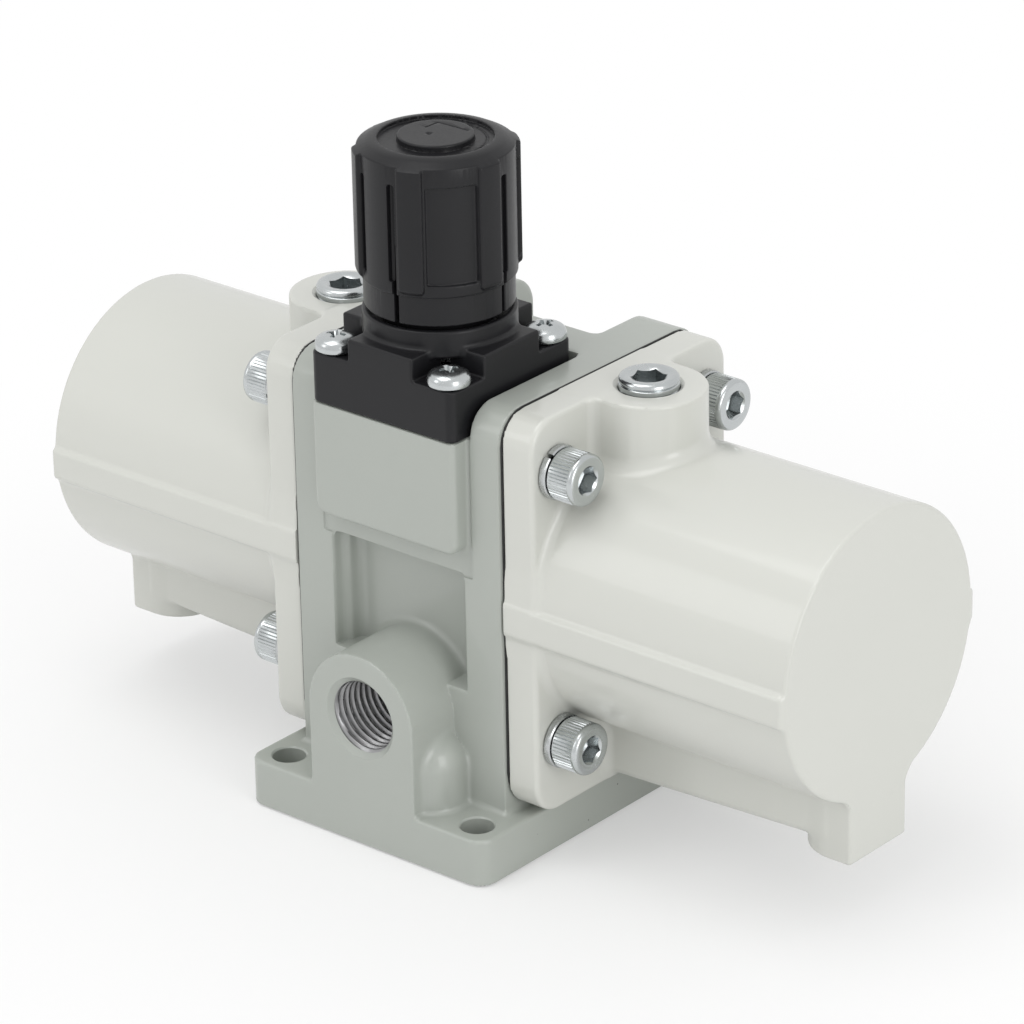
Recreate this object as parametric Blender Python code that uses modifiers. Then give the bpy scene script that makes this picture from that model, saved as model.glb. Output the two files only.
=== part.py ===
"""Air pressure booster: two cylinders on a centre body, with a governor and its knob on top.

Sizes are in millimetres and the objects are made in metres. X runs along the cylinders,
-Y is the side with the exhaust port, +Z is up, and the origin is under the middle of the foot.
"""

import math

import bmesh
import bpy
from mathutils import Matrix, Vector

MM = 0.001

# Clearances
SEAT_GAP = 0.1  # between faces that bear on each other
GASKET_GAP = 0.05  # on each side of a gasket
RUNNING_GAP = 0.1  # radial, shaft in bore
SCREW_GAP = 0.15  # radial, screw in its threaded hole

# Foot
FOOT_HALF_X = 25.0
FOOT_HALF_Y = 34.75
FOOT_HEIGHT = 8.0
FOOT_CORNER = 3.0
MOUNT_INSET_X = 5.0
MOUNT_INSET_Y = 4.75
MOUNT_HOLE_R = 2.75

# Centre body
BODY_HALF_X = 21.35
BODY_HALF_Y = 24.66
BODY_TOP = 76.7
SHOULDER_R = 5.3
AXIS_Z = 43.44  # the cylinders' axis
RIM_INSIDE_X = 15.5
REAR_RECESS_X = 12.4
REAR_RECESS_Y = 10.5
REAR_STEP_Z = 45.0
RECESS_HALF_X = 13.7
RECESS_Y = 21.85
RECESS_TOP = 47.5
PANEL_HALF_X = 12.6
PANEL_Y = 19.5
LEDGE_Y = 24.2
CAST_FILLET = 1.5

# Ports, pipe thread of 1/4
PORT_Z = 22.5
PORT_BOSS_R = 10.9
PORT_MOUTH_R = 6.6
PORT_BORE_R = 5.75
PORT_CHAMFER = 1.3
PORT_DEPTH = 14.0
EXHAUST_DRILL_R = 3.2
EXHAUST_DRILL_Y = -3.0  # where it ends, inside the sleeve
OUTLET_DRILL_R = 4.6
OUTLET_DRILL_Y = 9.0
INLET_Z = 56.0
INLET_FACE_Y = 30.0
INLET_DRILL_R = 2.6
INLET_DRILL_DROP = 3.5  # below the valve seat
BULGE_R = 5.9
BULGE_X = 8.3
BULGE_Y = 27.2
BULGE_TOP = 20.4

# Governor and bonnet
GOVERNOR_Y = -12.9
PAD_HALF = 14.65
PAD_DROP = 5.6  # from the body's top
PAD_HEIGHT = 19.2
PAD_CORNER = 1.8
POCKET_CLEARANCE = 1.15
BONNET_GAP = 0.1
BONNET_HEIGHT = 12.3
BONNET_CORNER = 1.5
NOTCH_WALL = 6.65
NOTCH_SEAT = 8.5
COLLAR_R = 12.25
COLLAR_HEIGHT = 3.1
BONNET_SCREW_OFFSET = 11.6
NECK_R = 9.5
NECK_BORE_R = 7.6
NECK_HEIGHT = 20.0
NECK_ROOF = 2.5
BONNET_BORE_R = 10.0
DIAPHRAGM_R = 12.8
DIAPHRAGM_THICKNESS = 0.6
PLATE_R = 8.8
PLATE_THICKNESS = 1.6
GOVERNOR_CHAMBER_R = 11.0
GOVERNOR_CHAMBER_DEPTH = 5.1
VALVE_CHAMBER_R = 5.0
VALVE_CHAMBER_DEPTH = 23.5
VALVE_SEAT_R = 6.4
VALVE_SEAT_DEPTH = 14.0
VALVE_SEAT_HEIGHT = 4.0
VALVE_HOLE_R = 2.2
VALVE_STEM_R = 1.4
POPPET_R = 3.8
POPPET_HEIGHT = 3.0
VALVE_SPRING_R = 3.2
VALVE_SPRING_WIRE_R = 0.4

# Adjusting screw and knob
ADJUSTER_R = 3.0
ADJUSTER_REACH = 3.5  # below the bonnet's top
ADJUSTER_COLLAR_R = 6.0
ADJUSTER_COLLAR_HEIGHT = 1.9
ADJUSTER_HEX_R = 4.4
NUT_RISE = 8.5  # above the bonnet's top
NUT_HEIGHT = 3.0
KEY_REACH = 1.1
KEY_WIDTH = 3.0
SETTING_SPRING_R = 5.6
SETTING_SPRING_WIRE_R = 0.9
KNOB_HEIGHT = 27.0
KNOB_STAND = 0.8  # above the collar
KNOB_SKIRT_R = 11.95
KNOB_SKIRT_HEIGHT = 5.4
KNOB_LOBE_R = 13.1
KNOB_PANEL_R = 12.35
KNOB_LOBES = 6
KNOB_LOBE_HALF_ANGLE = 10.0
KNOB_LOBE_PHASE = -9.0
KNOB_WINDOW_R = 11.85
KNOB_WINDOW_ANGLE = -39.0
KNOB_WINDOW_HALF_ANGLE = 18.6
KNOB_WINDOW_RISE = 7.1
KNOB_WINDOW_DROP = 4.1
KNOB_RING_OUTER_R = 11.8
KNOB_RING_INNER_R = 9.95
KNOB_DISC_R = 6.2
KNOB_RECESS = 0.8
KNOB_DISC_RISE = 0.5
KNOB_BORE_R = 10.2
KNOB_BORE_GAP = 1.5  # above the neck
KNOB_ROOF = 3.4  # above the adjusting screw

# Covers, which are the cylinders
COVER_FLANGE_THICKNESS = 5.9
COVER_HALF_Y = 24.13
COVER_BOTTOM = 9.97
COVER_END_X = 76.4
CYLINDER_R = 24.0
CYLINDER_WALL = 4.0
COVER_END_WALL = 4.0
COVER_EDGE = 1.2
BAND_STAND = 0.9  # out of the cylinder
BAND_BOTTOM = 40.0
BAND_TOP = 45.2
KEEL_HALF_Y = 7.1
KEEL_BOTTOM = 10.1
KEEL_DRAFT = 2.1
KEEL_CORNER = 1.8
END_BOSS_R = 7.3
END_BOSS_X = 74.0
END_BOSS_BOTTOM = 9.4
GAUGE_BOSS_R = 9.3
GAUGE_X = 31.45
GAUGE_HOLE_R = 4.95
GAUGE_HOLE_DEPTH = 9.7
GAUGE_PLUG_STANDS = 0.9
GAUGE_PLUG_DEPTH = 6.2
GAUGE_DRILL_Y = 3.6
GAUGE_DRILL_DROP = 8.2
GAUGE_DRILL_R = 1.25
DRIVE_DRILL_Z = 15.6
DRIVE_DRILL_R = 2.0
DRIVE_DRILL_X = 9.0
DRIVE_RISER_X = 11.0
DRIVE_RISER_R = 1.8
GASKET_THICKNESS = 0.3

# Screws
COVER_SCREW_Y = 18.4
COVER_SCREW_RISE = 11.03  # from the cover's bottom
COVER_SCREW_DROP = 9.4  # from its top
M5_SHANK_R = 2.45
M5_HEAD_R = 4.25
M5_HEAD_HEIGHT = 5.0
M5_LENGTH = 14.0
M5_SOCKET_R = 2.31
M5_CLEARANCE_R = 2.8
WASHER_R = 4.6
WASHER_HOLE_R = 2.65
WASHER_THICKNESS = 1.3
WASHER_SPLIT = 0.6
M4_SHANK_R = 1.95
M4_HEAD_R = 3.5
M4_HEAD_HEIGHT = 2.7
M4_LENGTH = 16.0
M4_CLEARANCE_R = 2.2

# Pistons, rod and their seals
PISTON_X = 47.0
PISTON_THICKNESS = 8.5
PISTON_GAP = 0.4
PISTON_SEAL_WIDTH = 2.6
PISTON_SEAL_DEPTH = 1.9
PISTON_SEAL_GAP = 0.15
ROD_R = 4.0
ROD_THREAD_R = 3.0
ROD_NUT_R = 5.6
ROD_NUT_HEIGHT = 3.2
ROD_SEAL_R = 6.9
ROD_SEAL_WIDTH = 3.6
ROD_SEAL_INSET = 0.6

# Switching valve and check valves
SPOOL_Z = 29.0
SLEEVE_R = 6.2
SLEEVE_BORE_R = 4.8
SLEEVE_HALF_X = 20.9
SPOOL_LANDS = 5
SPOOL_LAND_WIDTH = 3.6
SPOOL_WAIST_R = 3.2
SPOOL_PIN_R = 2.0
SPOOL_PIN_END = 25.4
SPOOL_END_GAP = 2.6
CHECK_Y = 12.3
CHECK_Z = 28.5
CHECK_POCKET_R = 3.5
CHECK_POCKET_DEPTH = 8.0
CHECK_DRILL_R = 1.75
CHECK_POPPET_R = 3.2
CHECK_POPPET_WIDTH = 2.2
CHECK_SPRING_R = 2.3
CHECK_SPRING_WIRE_R = 0.3

# Sizes that follow from the ones above
MOUNT_HOLE_X = FOOT_HALF_X - MOUNT_INSET_X
MOUNT_HOLE_Y = FOOT_HALF_Y - MOUNT_INSET_Y
COVER_FACE_X = BODY_HALF_X + GASKET_THICKNESS + 2 * GASKET_GAP
COVER_FLANGE_X = COVER_FACE_X + COVER_FLANGE_THICKNESS
BAND_HALF_Y = CYLINDER_R + BAND_STAND
BORE_R = CYLINDER_R - CYLINDER_WALL
PISTON_R = BORE_R - PISTON_GAP
PISTON_SEAL_R = BORE_R - PISTON_SEAL_GAP
BORE_END_X = COVER_END_X - COVER_END_WALL
PAD_TOP = BODY_TOP - PAD_DROP
PAD_BOTTOM = PAD_TOP - PAD_HEIGHT
GOVERNOR_CHAMBER_FLOOR = PAD_TOP - GOVERNOR_CHAMBER_DEPTH
VALVE_CHAMBER_FLOOR = PAD_TOP - VALVE_CHAMBER_DEPTH
VALVE_SEAT_BOTTOM = PAD_TOP - VALVE_SEAT_DEPTH
INLET_DRILL_Z = VALVE_SEAT_BOTTOM - INLET_DRILL_DROP
INLET_DRILL_Y = GOVERNOR_Y + VALVE_CHAMBER_R - 1.0
GAUGE_HOLE_BOTTOM = BODY_TOP - GAUGE_HOLE_DEPTH
GAUGE_PLUG_BOTTOM = BODY_TOP - GAUGE_PLUG_DEPTH
GAUGE_DRILL_Z = BODY_TOP - GAUGE_DRILL_DROP
COVER_SCREW_LOW = COVER_BOTTOM + COVER_SCREW_RISE
COVER_SCREW_HIGH = BODY_TOP - COVER_SCREW_DROP
BONNET_BOTTOM = PAD_TOP + BONNET_GAP
BONNET_TOP = BONNET_BOTTOM + BONNET_HEIGHT
NOTCH_Z = BONNET_BOTTOM + NOTCH_SEAT
COLLAR_TOP = BONNET_TOP + COLLAR_HEIGHT
NECK_TOP = BONNET_TOP + NECK_HEIGHT
KNOB_BOTTOM = COLLAR_TOP + KNOB_STAND
KNOB_SKIRT_TOP = KNOB_BOTTOM + KNOB_SKIRT_HEIGHT
KNOB_TOP = KNOB_BOTTOM + KNOB_HEIGHT
KNOB_BORE_TOP = NECK_TOP + KNOB_BORE_GAP
ADJUSTER_TOP = KNOB_TOP - KNOB_ROOF
ADJUSTER_BOTTOM = BONNET_TOP - ADJUSTER_REACH
NUT_BOTTOM = BONNET_TOP + NUT_RISE
POCKET_Y = GOVERNOR_Y + PAD_HALF + POCKET_CLEARANCE
PAD_FRONT_Y = GOVERNOR_Y - PAD_HALF
DIAPHRAGM_TOP = PAD_TOP - SEAT_GAP
PLATE_BOTTOM = DIAPHRAGM_TOP + 3 * SEAT_GAP
PLATE_TOP = PLATE_BOTTOM + PLATE_THICKNESS
POPPET_TOP = VALVE_SEAT_BOTTOM - 3 * SEAT_GAP
POPPET_BOTTOM = POPPET_TOP - POPPET_HEIGHT
ADJUSTER_COLLAR_TOP = NECK_TOP - NECK_ROOF - 3 * SEAT_GAP


# Tools

def collection(name, hidden=False):
    made = bpy.data.collections.new(name)
    made.hide_render = hidden
    bpy.context.scene.collection.children.link(made)
    return made


def material(name, colour, roughness, metallic=0.0):
    made = bpy.data.materials.new(name)
    made.use_nodes = True
    shader = made.node_tree.nodes["Principled BSDF"]
    shader.inputs["Base Color"].default_value = (*colour, 1.0)
    shader.inputs["Roughness"].default_value = roughness
    shader.inputs["Metallic"].default_value = metallic
    return made


def place(name, mesh, origin=(0, 0, 0)):
    """An object of a mesh in millimetres, with its own origin at the point given."""
    origin = Vector(origin)
    mesh.transform(Matrix.Scale(MM, 4) @ Matrix.Translation(-origin))
    mesh.shade_smooth()
    mesh.set_sharp_from_angle(angle=math.radians(35))
    made = bpy.data.objects.new(name, mesh)
    made.location = origin * MM
    cutters.objects.link(made)
    made.hide_render = True
    made.display_type = "WIRE"
    return made


def from_bmesh(name, shape, origin=(0, 0, 0)):
    bmesh.ops.recalc_face_normals(shape, faces=shape.faces)
    mesh = bpy.data.meshes.new(name)
    shape.to_mesh(mesh)
    shape.free()
    return place(name, mesh, origin)


def evaluated(obj):
    """A copy of the object's mesh with its modifiers or its bevel applied."""
    graph = bpy.context.evaluated_depsgraph_get()
    return bpy.data.meshes.new_from_object(obj.evaluated_get(graph))


def block(name, x, y, z, along=None, radius=0.0, steps=4, edges=None, origin=(0, 0, 0)):
    """A box between pairs of limits, with the edges along one axis rounded.

    Where edges is given, it picks the rounded ones by their middle.
    """
    shape = bmesh.new()
    bmesh.ops.create_cube(shape, size=1.0)
    size = Vector((x[1] - x[0], y[1] - y[0], z[1] - z[0]))
    middle = Vector((x[0] + x[1], y[0] + y[1], z[0] + z[1])) / 2
    bmesh.ops.scale(shape, verts=shape.verts, vec=size)
    bmesh.ops.translate(shape, verts=shape.verts, vec=middle)
    if along is not None:
        axis = Vector([float(letter == along) for letter in "XYZ"])
        picked = []
        for edge in shape.edges:
            ends = [vertex.co for vertex in edge.verts]
            if abs((ends[1] - ends[0]).normalized().dot(axis)) < 0.9:
                continue
            if edges is None or edges((ends[0] + ends[1]) / 2):
                picked.append(edge)
        bmesh.ops.bevel(
            shape, geom=picked, offset=radius, offset_type="OFFSET",
            segments=steps, profile=0.5, affect="EDGES",
        )
    return from_bmesh(name, shape, origin)


def turn_to(axis):
    """The rotation that takes +Z to the axis named."""
    return {
        "X": Matrix.Rotation(math.radians(90), 4, "Y"),
        "Y": Matrix.Rotation(math.radians(-90), 4, "X"),
        "Z": Matrix.Identity(4),
    }[axis]


def cylinder(name, axis, centre, radius, low, high, steps=24, origin=(0, 0, 0)):
    """A round bar along an axis through the centre, from low to high on that axis."""
    shape = bmesh.new()
    bmesh.ops.create_cone(
        shape, cap_ends=True, segments=steps, radius1=radius, radius2=radius, depth=high - low
    )
    middle = Vector(centre)
    middle["XYZ".index(axis)] = (low + high) / 2
    bmesh.ops.transform(
        shape, verts=shape.verts, matrix=Matrix.Translation(middle) @ turn_to(axis)
    )
    return from_bmesh(name, shape, origin)


def turned(name, profile, axis="Z", centre=(0, 0, 0), steps=32, closed=False):
    """A profile of radius and height points, turned round an axis through the centre."""
    mesh = bpy.data.meshes.new(name + "_profile")
    points = [(radius * MM, 0.0, height * MM) for radius, height in profile]
    edges = [(i, i + 1) for i in range(len(points) - 1)]
    if closed:
        edges.append((len(points) - 1, 0))
    mesh.from_pydata(points, edges, [])
    sketch = bpy.data.objects.new(name + "_profile", mesh)
    cutters.objects.link(sketch)
    screw = sketch.modifiers.new("turn", "SCREW")
    screw.steps = steps
    screw.render_steps = steps
    screw.use_merge_vertices = True
    screw.merge_threshold = 0.00001
    bpy.context.view_layer.update()
    shape = bmesh.new()
    shape.from_mesh(evaluated(sketch))
    bpy.data.objects.remove(sketch)
    bmesh.ops.transform(
        shape, verts=shape.verts,
        matrix=Matrix.Translation(centre) @ turn_to(axis) @ Matrix.Scale(1 / MM, 4),
    )
    bmesh.ops.remove_doubles(shape, verts=shape.verts, dist=0.001)
    return from_bmesh(name, shape, centre)


def arc(centre, radius, start, end, steps):
    """Points of an arc between two angles in degrees."""
    return [
        (
            centre[0] + radius * math.cos(math.radians(start + (end - start) * i / steps)),
            centre[1] + radius * math.sin(math.radians(start + (end - start) * i / steps)),
        )
        for i in range(steps + 1)
    ]


def rounded_rectangle(u, v, radii, steps=5):
    """An outline between two pairs of limits, with radii at its corners, from low-low anticlockwise."""
    corners = [(u[0], v[0], 1, 1, 180), (u[1], v[0], -1, 1, 270), (u[1], v[1], -1, -1, 0), (u[0], v[1], 1, -1, 90)]
    points = []
    for (cu, cv, du, dv, start), radius in zip(corners, radii):
        if radius:
            points += arc((cu + du * radius, cv + dv * radius), radius, start, start + 90, steps)
        else:
            points.append((cu, cv))
    return points


def plate(name, outline, axis, low, high, origin=(0, 0, 0)):
    """A flat outline with thickness, made as a filled curve.

    The outline's points are (y, z) across X, (x, z) across Y and (x, y) across Z.
    """
    curve = bpy.data.curves.new(name, "CURVE")
    curve.dimensions = "2D"
    curve.fill_mode = "BOTH"
    curve.extrude = (high - low) / 2
    spline = curve.splines.new("POLY")
    spline.points.add(len(outline) - 1)
    for point, (u, v) in zip(spline.points, outline):
        point.co = (u, v, 0.0, 1.0)
    spline.use_cyclic_u = True
    sketch = bpy.data.objects.new(name + "_outline", curve)
    cutters.objects.link(sketch)
    bpy.context.view_layer.update()
    shape = bmesh.new()
    shape.from_mesh(evaluated(sketch))
    bpy.data.objects.remove(sketch)
    bmesh.ops.remove_doubles(shape, verts=shape.verts, dist=0.0005)
    middle = (low + high) / 2
    axes = {
        "X": Matrix(((0, 0, 1, middle), (1, 0, 0, 0), (0, 1, 0, 0), (0, 0, 0, 1))),
        "Y": Matrix(((1, 0, 0, 0), (0, 0, 1, middle), (0, 1, 0, 0), (0, 0, 0, 1))),
        "Z": Matrix.Translation((0, 0, middle)),
    }
    bmesh.ops.transform(shape, verts=shape.verts, matrix=axes[axis])
    bmesh.ops.dissolve_limit(shape, angle_limit=0.001, verts=shape.verts, edges=shape.edges)
    return from_bmesh(name, shape, origin)


def coil(name, axis, centre, radius, wire, low, high, turns, per_turn=12, sides=1):
    """A compression spring with closed ends, as a bevelled curve along a helix."""
    curve = bpy.data.curves.new(name, "CURVE")
    curve.dimensions = "3D"
    curve.bevel_depth = wire
    curve.bevel_resolution = sides
    curve.use_fill_caps = True
    count = round(turns * per_turn)
    spline = curve.splines.new("POLY")
    spline.points.add(count)
    dead = 0.9
    free = turns - 2 * dead
    bottom = low + wire
    rise = high - low - 2 * wire - 2 * dead * wire * 2.1
    for i, point in enumerate(spline.points):
        turn = i / per_turn
        closed_turns = min(turn, dead) + max(turn - turns + dead, 0.0)
        open_turns = min(max(turn - dead, 0.0), free)
        height = bottom + closed_turns * wire * 2.1 + rise * open_turns / free
        angle = 2 * math.pi * turn
        point.co = (radius * math.cos(angle), radius * math.sin(angle), height, 1.0)
    sketch = bpy.data.objects.new(name + "_helix", curve)
    cutters.objects.link(sketch)
    bpy.context.view_layer.update()
    shape = bmesh.new()
    shape.from_mesh(evaluated(sketch))
    bpy.data.objects.remove(sketch)
    bmesh.ops.remove_doubles(shape, verts=shape.verts, dist=0.001)
    middle = Vector(centre)
    bmesh.ops.transform(
        shape, verts=shape.verts, matrix=Matrix.Translation(middle) @ turn_to(axis)
    )
    return from_bmesh(name, shape, centre)


def bevel(obj, width, steps=2, angle=40):
    made = obj.modifiers.new("edges", "BEVEL")
    made.width = width * MM
    made.segments = steps
    made.limit_method = "ANGLE"
    made.angle_limit = math.radians(angle)
    return obj


def combine(obj, others, operation):
    for other in others:
        made = obj.modifiers.new(other.name, "BOOLEAN")
        made.operation = operation
        made.object = other
    return obj


def add(obj, others):
    return combine(obj, others, "UNION")


def cut(obj, others):
    return combine(obj, others, "DIFFERENCE")


def finish(obj, look):
    """Moves an object from the cutters to the parts and gives it its material."""
    cutters.objects.unlink(obj)
    parts.objects.link(obj)
    obj.hide_render = False
    obj.display_type = "TEXTURED"
    obj.data.materials.clear()
    obj.data.materials.append(look)
    return obj


SIDES = {"left": -1, "right": 1}


def span(sign, a, b):
    """The limits of a stretch along X, mirrored to the side given."""
    return tuple(sorted((sign * a, sign * b)))


# Centre body

def port_boss(name, side, centre_z, face_y, root_y, floor_z):
    outline = [(-PORT_BOSS_R, floor_z), (PORT_BOSS_R, floor_z)]
    outline += arc((0, centre_z), PORT_BOSS_R, 0, 180, 18)
    return bevel(plate(name, outline, "Y", *span(side, root_y, face_y)), 0.5, 1)


def port_cutter(name, side, centre_z, face_y, inner_y, inner_r, inner_z=None):
    """A port's mouth and bore, and the passage behind it, which may lie off the port's axis."""
    bore = turned(name + "_port", [
        (0, 1), (PORT_MOUTH_R + 1, 1), (PORT_MOUTH_R, 0), (PORT_BORE_R, -PORT_CHAMFER),
        (PORT_BORE_R, -PORT_DEPTH), (0, -PORT_DEPTH - 1.5),
    ], "Y", (0, side * face_y, centre_z), 28)
    if side < 0:
        bore.rotation_euler = (0, 0, math.pi)
    passage = cylinder(
        name + "_passage", "Y", (0, 0, inner_z or centre_z), inner_r,
        *sorted((side * (face_y - PORT_DEPTH + 1), inner_y)), 14,
    )
    return [bore, passage]


def bulge(name, x, y):
    """An upright pillar with a half ball on top, beside a port boss."""
    profile = [(0, BULGE_TOP)]
    profile += [
        (BULGE_R * math.sin(math.radians(a)), BULGE_TOP - BULGE_R * (1 - math.cos(math.radians(a))))
        for a in (22, 45, 68, 90)
    ]
    profile += [(BULGE_R, 1.0), (0, 1.0)]
    return turned(name, profile, "Z", (x, y, 0), 16)


def make_body():
    outline = rounded_rectangle(
        (-BODY_HALF_Y, BODY_HALF_Y), (2.0, BODY_TOP), (0, 0, SHOULDER_R, SHOULDER_R), 6
    )
    body = plate("body", outline, "X", -BODY_HALF_X, BODY_HALF_X)
    far = BODY_HALF_Y + 10
    high = BODY_TOP + 10
    recesses = [
        block("bonnet_pocket", (-RIM_INSIDE_X, RIM_INSIDE_X), (-far, POCKET_Y), (PAD_TOP, high),
              "Z", PAD_CORNER, edges=lambda m: m.y > 0),
        block("ledge_recess", (-RIM_INSIDE_X, RIM_INSIDE_X), (-far, -LEDGE_Y), (RECESS_TOP, high)),
        block("front_recess", (-RECESS_HALF_X, RECESS_HALF_X), (-far, -RECESS_Y), (0.5, RECESS_TOP),
              "Z", CAST_FILLET, edges=lambda m: m.y > -far),
        block("front_panel", (-PANEL_HALF_X, PANEL_HALF_X), (-far, -PANEL_Y), (0.5, RECESS_TOP),
              "Z", CAST_FILLET, edges=lambda m: m.y > -far),
        block("rear_low_recess", (-REAR_RECESS_X, REAR_RECESS_X), (PANEL_Y, far), (0.5, REAR_STEP_Z + 1),
              "Z", CAST_FILLET, edges=lambda m: m.y < far),
        block("rear_high_recess", (-REAR_RECESS_X, REAR_RECESS_X), (REAR_RECESS_Y, far), (REAR_STEP_Z, high),
              "Z", CAST_FILLET, edges=lambda m: m.y < far),
    ]
    cut(body, recesses)
    foot = block("foot", (-FOOT_HALF_X, FOOT_HALF_X), (-FOOT_HALF_Y, FOOT_HALF_Y), (0, FOOT_HEIGHT),
                 "Z", FOOT_CORNER, 5)
    bevel(foot, 0.6)
    pad = block("pad", (-PAD_HALF, PAD_HALF), (PAD_FRONT_Y, -PANEL_Y + 1), (PAD_BOTTOM, PAD_TOP),
                "Y", 2.2, edges=lambda m: m.z < PAD_BOTTOM + 1)
    bevel(pad, 0.9)
    added = [
        foot,
        pad,
        port_boss("exhaust_boss", -1, PORT_Z, FOOT_HALF_Y, PANEL_Y - 1, 4.0),
        port_boss("outlet_boss", 1, PORT_Z, FOOT_HALF_Y, PANEL_Y - 1, 4.0),
        port_boss("inlet_boss", 1, INLET_Z, INLET_FACE_Y, REAR_RECESS_Y - 1, REAR_STEP_Z - 1),
    ]
    added += [
        bulge(f"bulge_{x_sign}_{y_sign}", x_sign * BULGE_X, y_sign * BULGE_Y)
        for x_sign in (-1, 1) for y_sign in (-1, 1)
    ]
    add(body, added)
    cut(body, body_drillings())
    return finish(body, material("cast_body", (0.41, 0.44, 0.40), 0.42, 0.3))


def body_drillings():
    """Every hole of the centre body, each sized from the piece that it holds."""
    made = port_cutter("exhaust", -1, PORT_Z, FOOT_HALF_Y, EXHAUST_DRILL_Y, EXHAUST_DRILL_R)
    made += port_cutter("outlet", 1, PORT_Z, FOOT_HALF_Y, OUTLET_DRILL_Y, OUTLET_DRILL_R)
    made += port_cutter("inlet", 1, INLET_Z, INLET_FACE_Y, INLET_DRILL_Y, INLET_DRILL_R, INLET_DRILL_Z)
    for x_sign in (-1, 1):
        for y_sign in (-1, 1):
            made.append(cylinder(
                f"mount_hole_{x_sign}_{y_sign}", "Z", (x_sign * MOUNT_HOLE_X, y_sign * MOUNT_HOLE_Y, 0),
                MOUNT_HOLE_R, -1, FOOT_HEIGHT + 1, 16,
            ))
            made.append(cylinder(
                f"bonnet_thread_{x_sign}_{y_sign}", "Z",
                (x_sign * BONNET_SCREW_OFFSET, GOVERNOR_Y + y_sign * BONNET_SCREW_OFFSET, 0),
                M4_SHANK_R + SCREW_GAP, NOTCH_Z - M4_LENGTH - 1.5, PAD_TOP + 1, 10,
            ))
    governor = [
        (VALVE_CHAMBER_R, VALVE_CHAMBER_FLOOR, VALVE_SEAT_BOTTOM),
        (VALVE_SEAT_R + SEAT_GAP, VALVE_SEAT_BOTTOM - SEAT_GAP, GOVERNOR_CHAMBER_FLOOR + 0.5),
        (GOVERNOR_CHAMBER_R, GOVERNOR_CHAMBER_FLOOR, PAD_TOP),
        (DIAPHRAGM_R + 2 * SEAT_GAP, DIAPHRAGM_TOP - DIAPHRAGM_THICKNESS - 2 * SEAT_GAP, PAD_TOP + 1),
    ]
    for number, (radius, low, top) in enumerate(governor):
        made.append(cylinder(f"governor_bore_{number}", "Z", (0, GOVERNOR_Y, 0), radius, low, top, 24))
    made.append(cylinder("rod_bore", "X", (0, 0, AXIS_Z), ROD_R + RUNNING_GAP,
                         -BODY_HALF_X - 1, BODY_HALF_X + 1, 20))
    made.append(cylinder("sleeve_bore", "X", (0, 0, SPOOL_Z), SLEEVE_R + RUNNING_GAP,
                         -BODY_HALF_X - 1, BODY_HALF_X + 1, 20))
    made.append(cylinder("gauge_drill", "X", (0, GAUGE_DRILL_Y, GAUGE_DRILL_Z), GAUGE_DRILL_R,
                         -BODY_HALF_X - 1, BODY_HALF_X + 1, 8))
    made.append(cylinder("gauge_riser", "Z", (0, GAUGE_DRILL_Y, 0), GAUGE_DRILL_R, INLET_DRILL_Z, GAUGE_DRILL_Z, 8))
    made.append(cylinder("inlet_riser", "Z", (0, -CHECK_Y, 0), CHECK_DRILL_R, CHECK_Z, VALVE_CHAMBER_FLOOR + 1, 8))
    for name, sign in SIDES.items():
        inner, outer = BODY_HALF_X, BODY_HALF_X + 1
        made.append(cylinder(
            f"rod_gland_{name}", "X", (0, 0, AXIS_Z), ROD_SEAL_R + SEAT_GAP,
            *span(sign, inner - ROD_SEAL_INSET - ROD_SEAL_WIDTH - SEAT_GAP, outer), 20,
        ))
        made.append(cylinder(
            f"drive_drill_{name}", "X", (0, 0, DRIVE_DRILL_Z), DRIVE_DRILL_R,
            *span(sign, DRIVE_DRILL_X, outer), 10,
        ))
        made.append(cylinder(
            f"drive_riser_{name}", "Z", (sign * DRIVE_RISER_X, 0, 0), DRIVE_RISER_R,
            DRIVE_DRILL_Z, SPOOL_Z - SLEEVE_R + 1, 8,
        ))
        for y_sign in (-1, 1):
            made.append(cylinder(
                f"check_pocket_{name}_{y_sign}", "X", (0, y_sign * CHECK_Y, CHECK_Z), CHECK_POCKET_R,
                *span(sign, inner - CHECK_POCKET_DEPTH, outer), 14,
            ))
            for level, z in (("low", COVER_SCREW_LOW), ("high", COVER_SCREW_HIGH)):
                made.append(cylinder(
                    f"cover_thread_{name}_{level}_{y_sign}", "X", (0, y_sign * COVER_SCREW_Y, z),
                    M5_SHANK_R + SCREW_GAP,
                    *span(sign, COVER_FLANGE_X + WASHER_THICKNESS - M5_LENGTH - 1.0, outer), 10,
                ))
    for y_sign in (-1, 1):
        reach = BODY_HALF_X - CHECK_POCKET_DEPTH + 1
        made.append(cylinder(
            f"check_drill_{y_sign}", "X", (0, y_sign * CHECK_Y, CHECK_Z), CHECK_DRILL_R, -reach, reach, 8,
        ))
    return made


# Covers, gaskets and the screws that hold them

def screw_places():
    return [(y, z) for z in (COVER_SCREW_LOW, COVER_SCREW_HIGH) for y in (-COVER_SCREW_Y, COVER_SCREW_Y)]


def joint_holes(name, sign, low, high, screw_r):
    """The holes that a cover and its gasket share."""
    made = [
        cylinder(f"{name}_screw_hole_{number}", "X", (0, y, z), screw_r, *span(sign, low, high), 12)
        for number, (y, z) in enumerate(screw_places())
    ]
    return made


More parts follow.
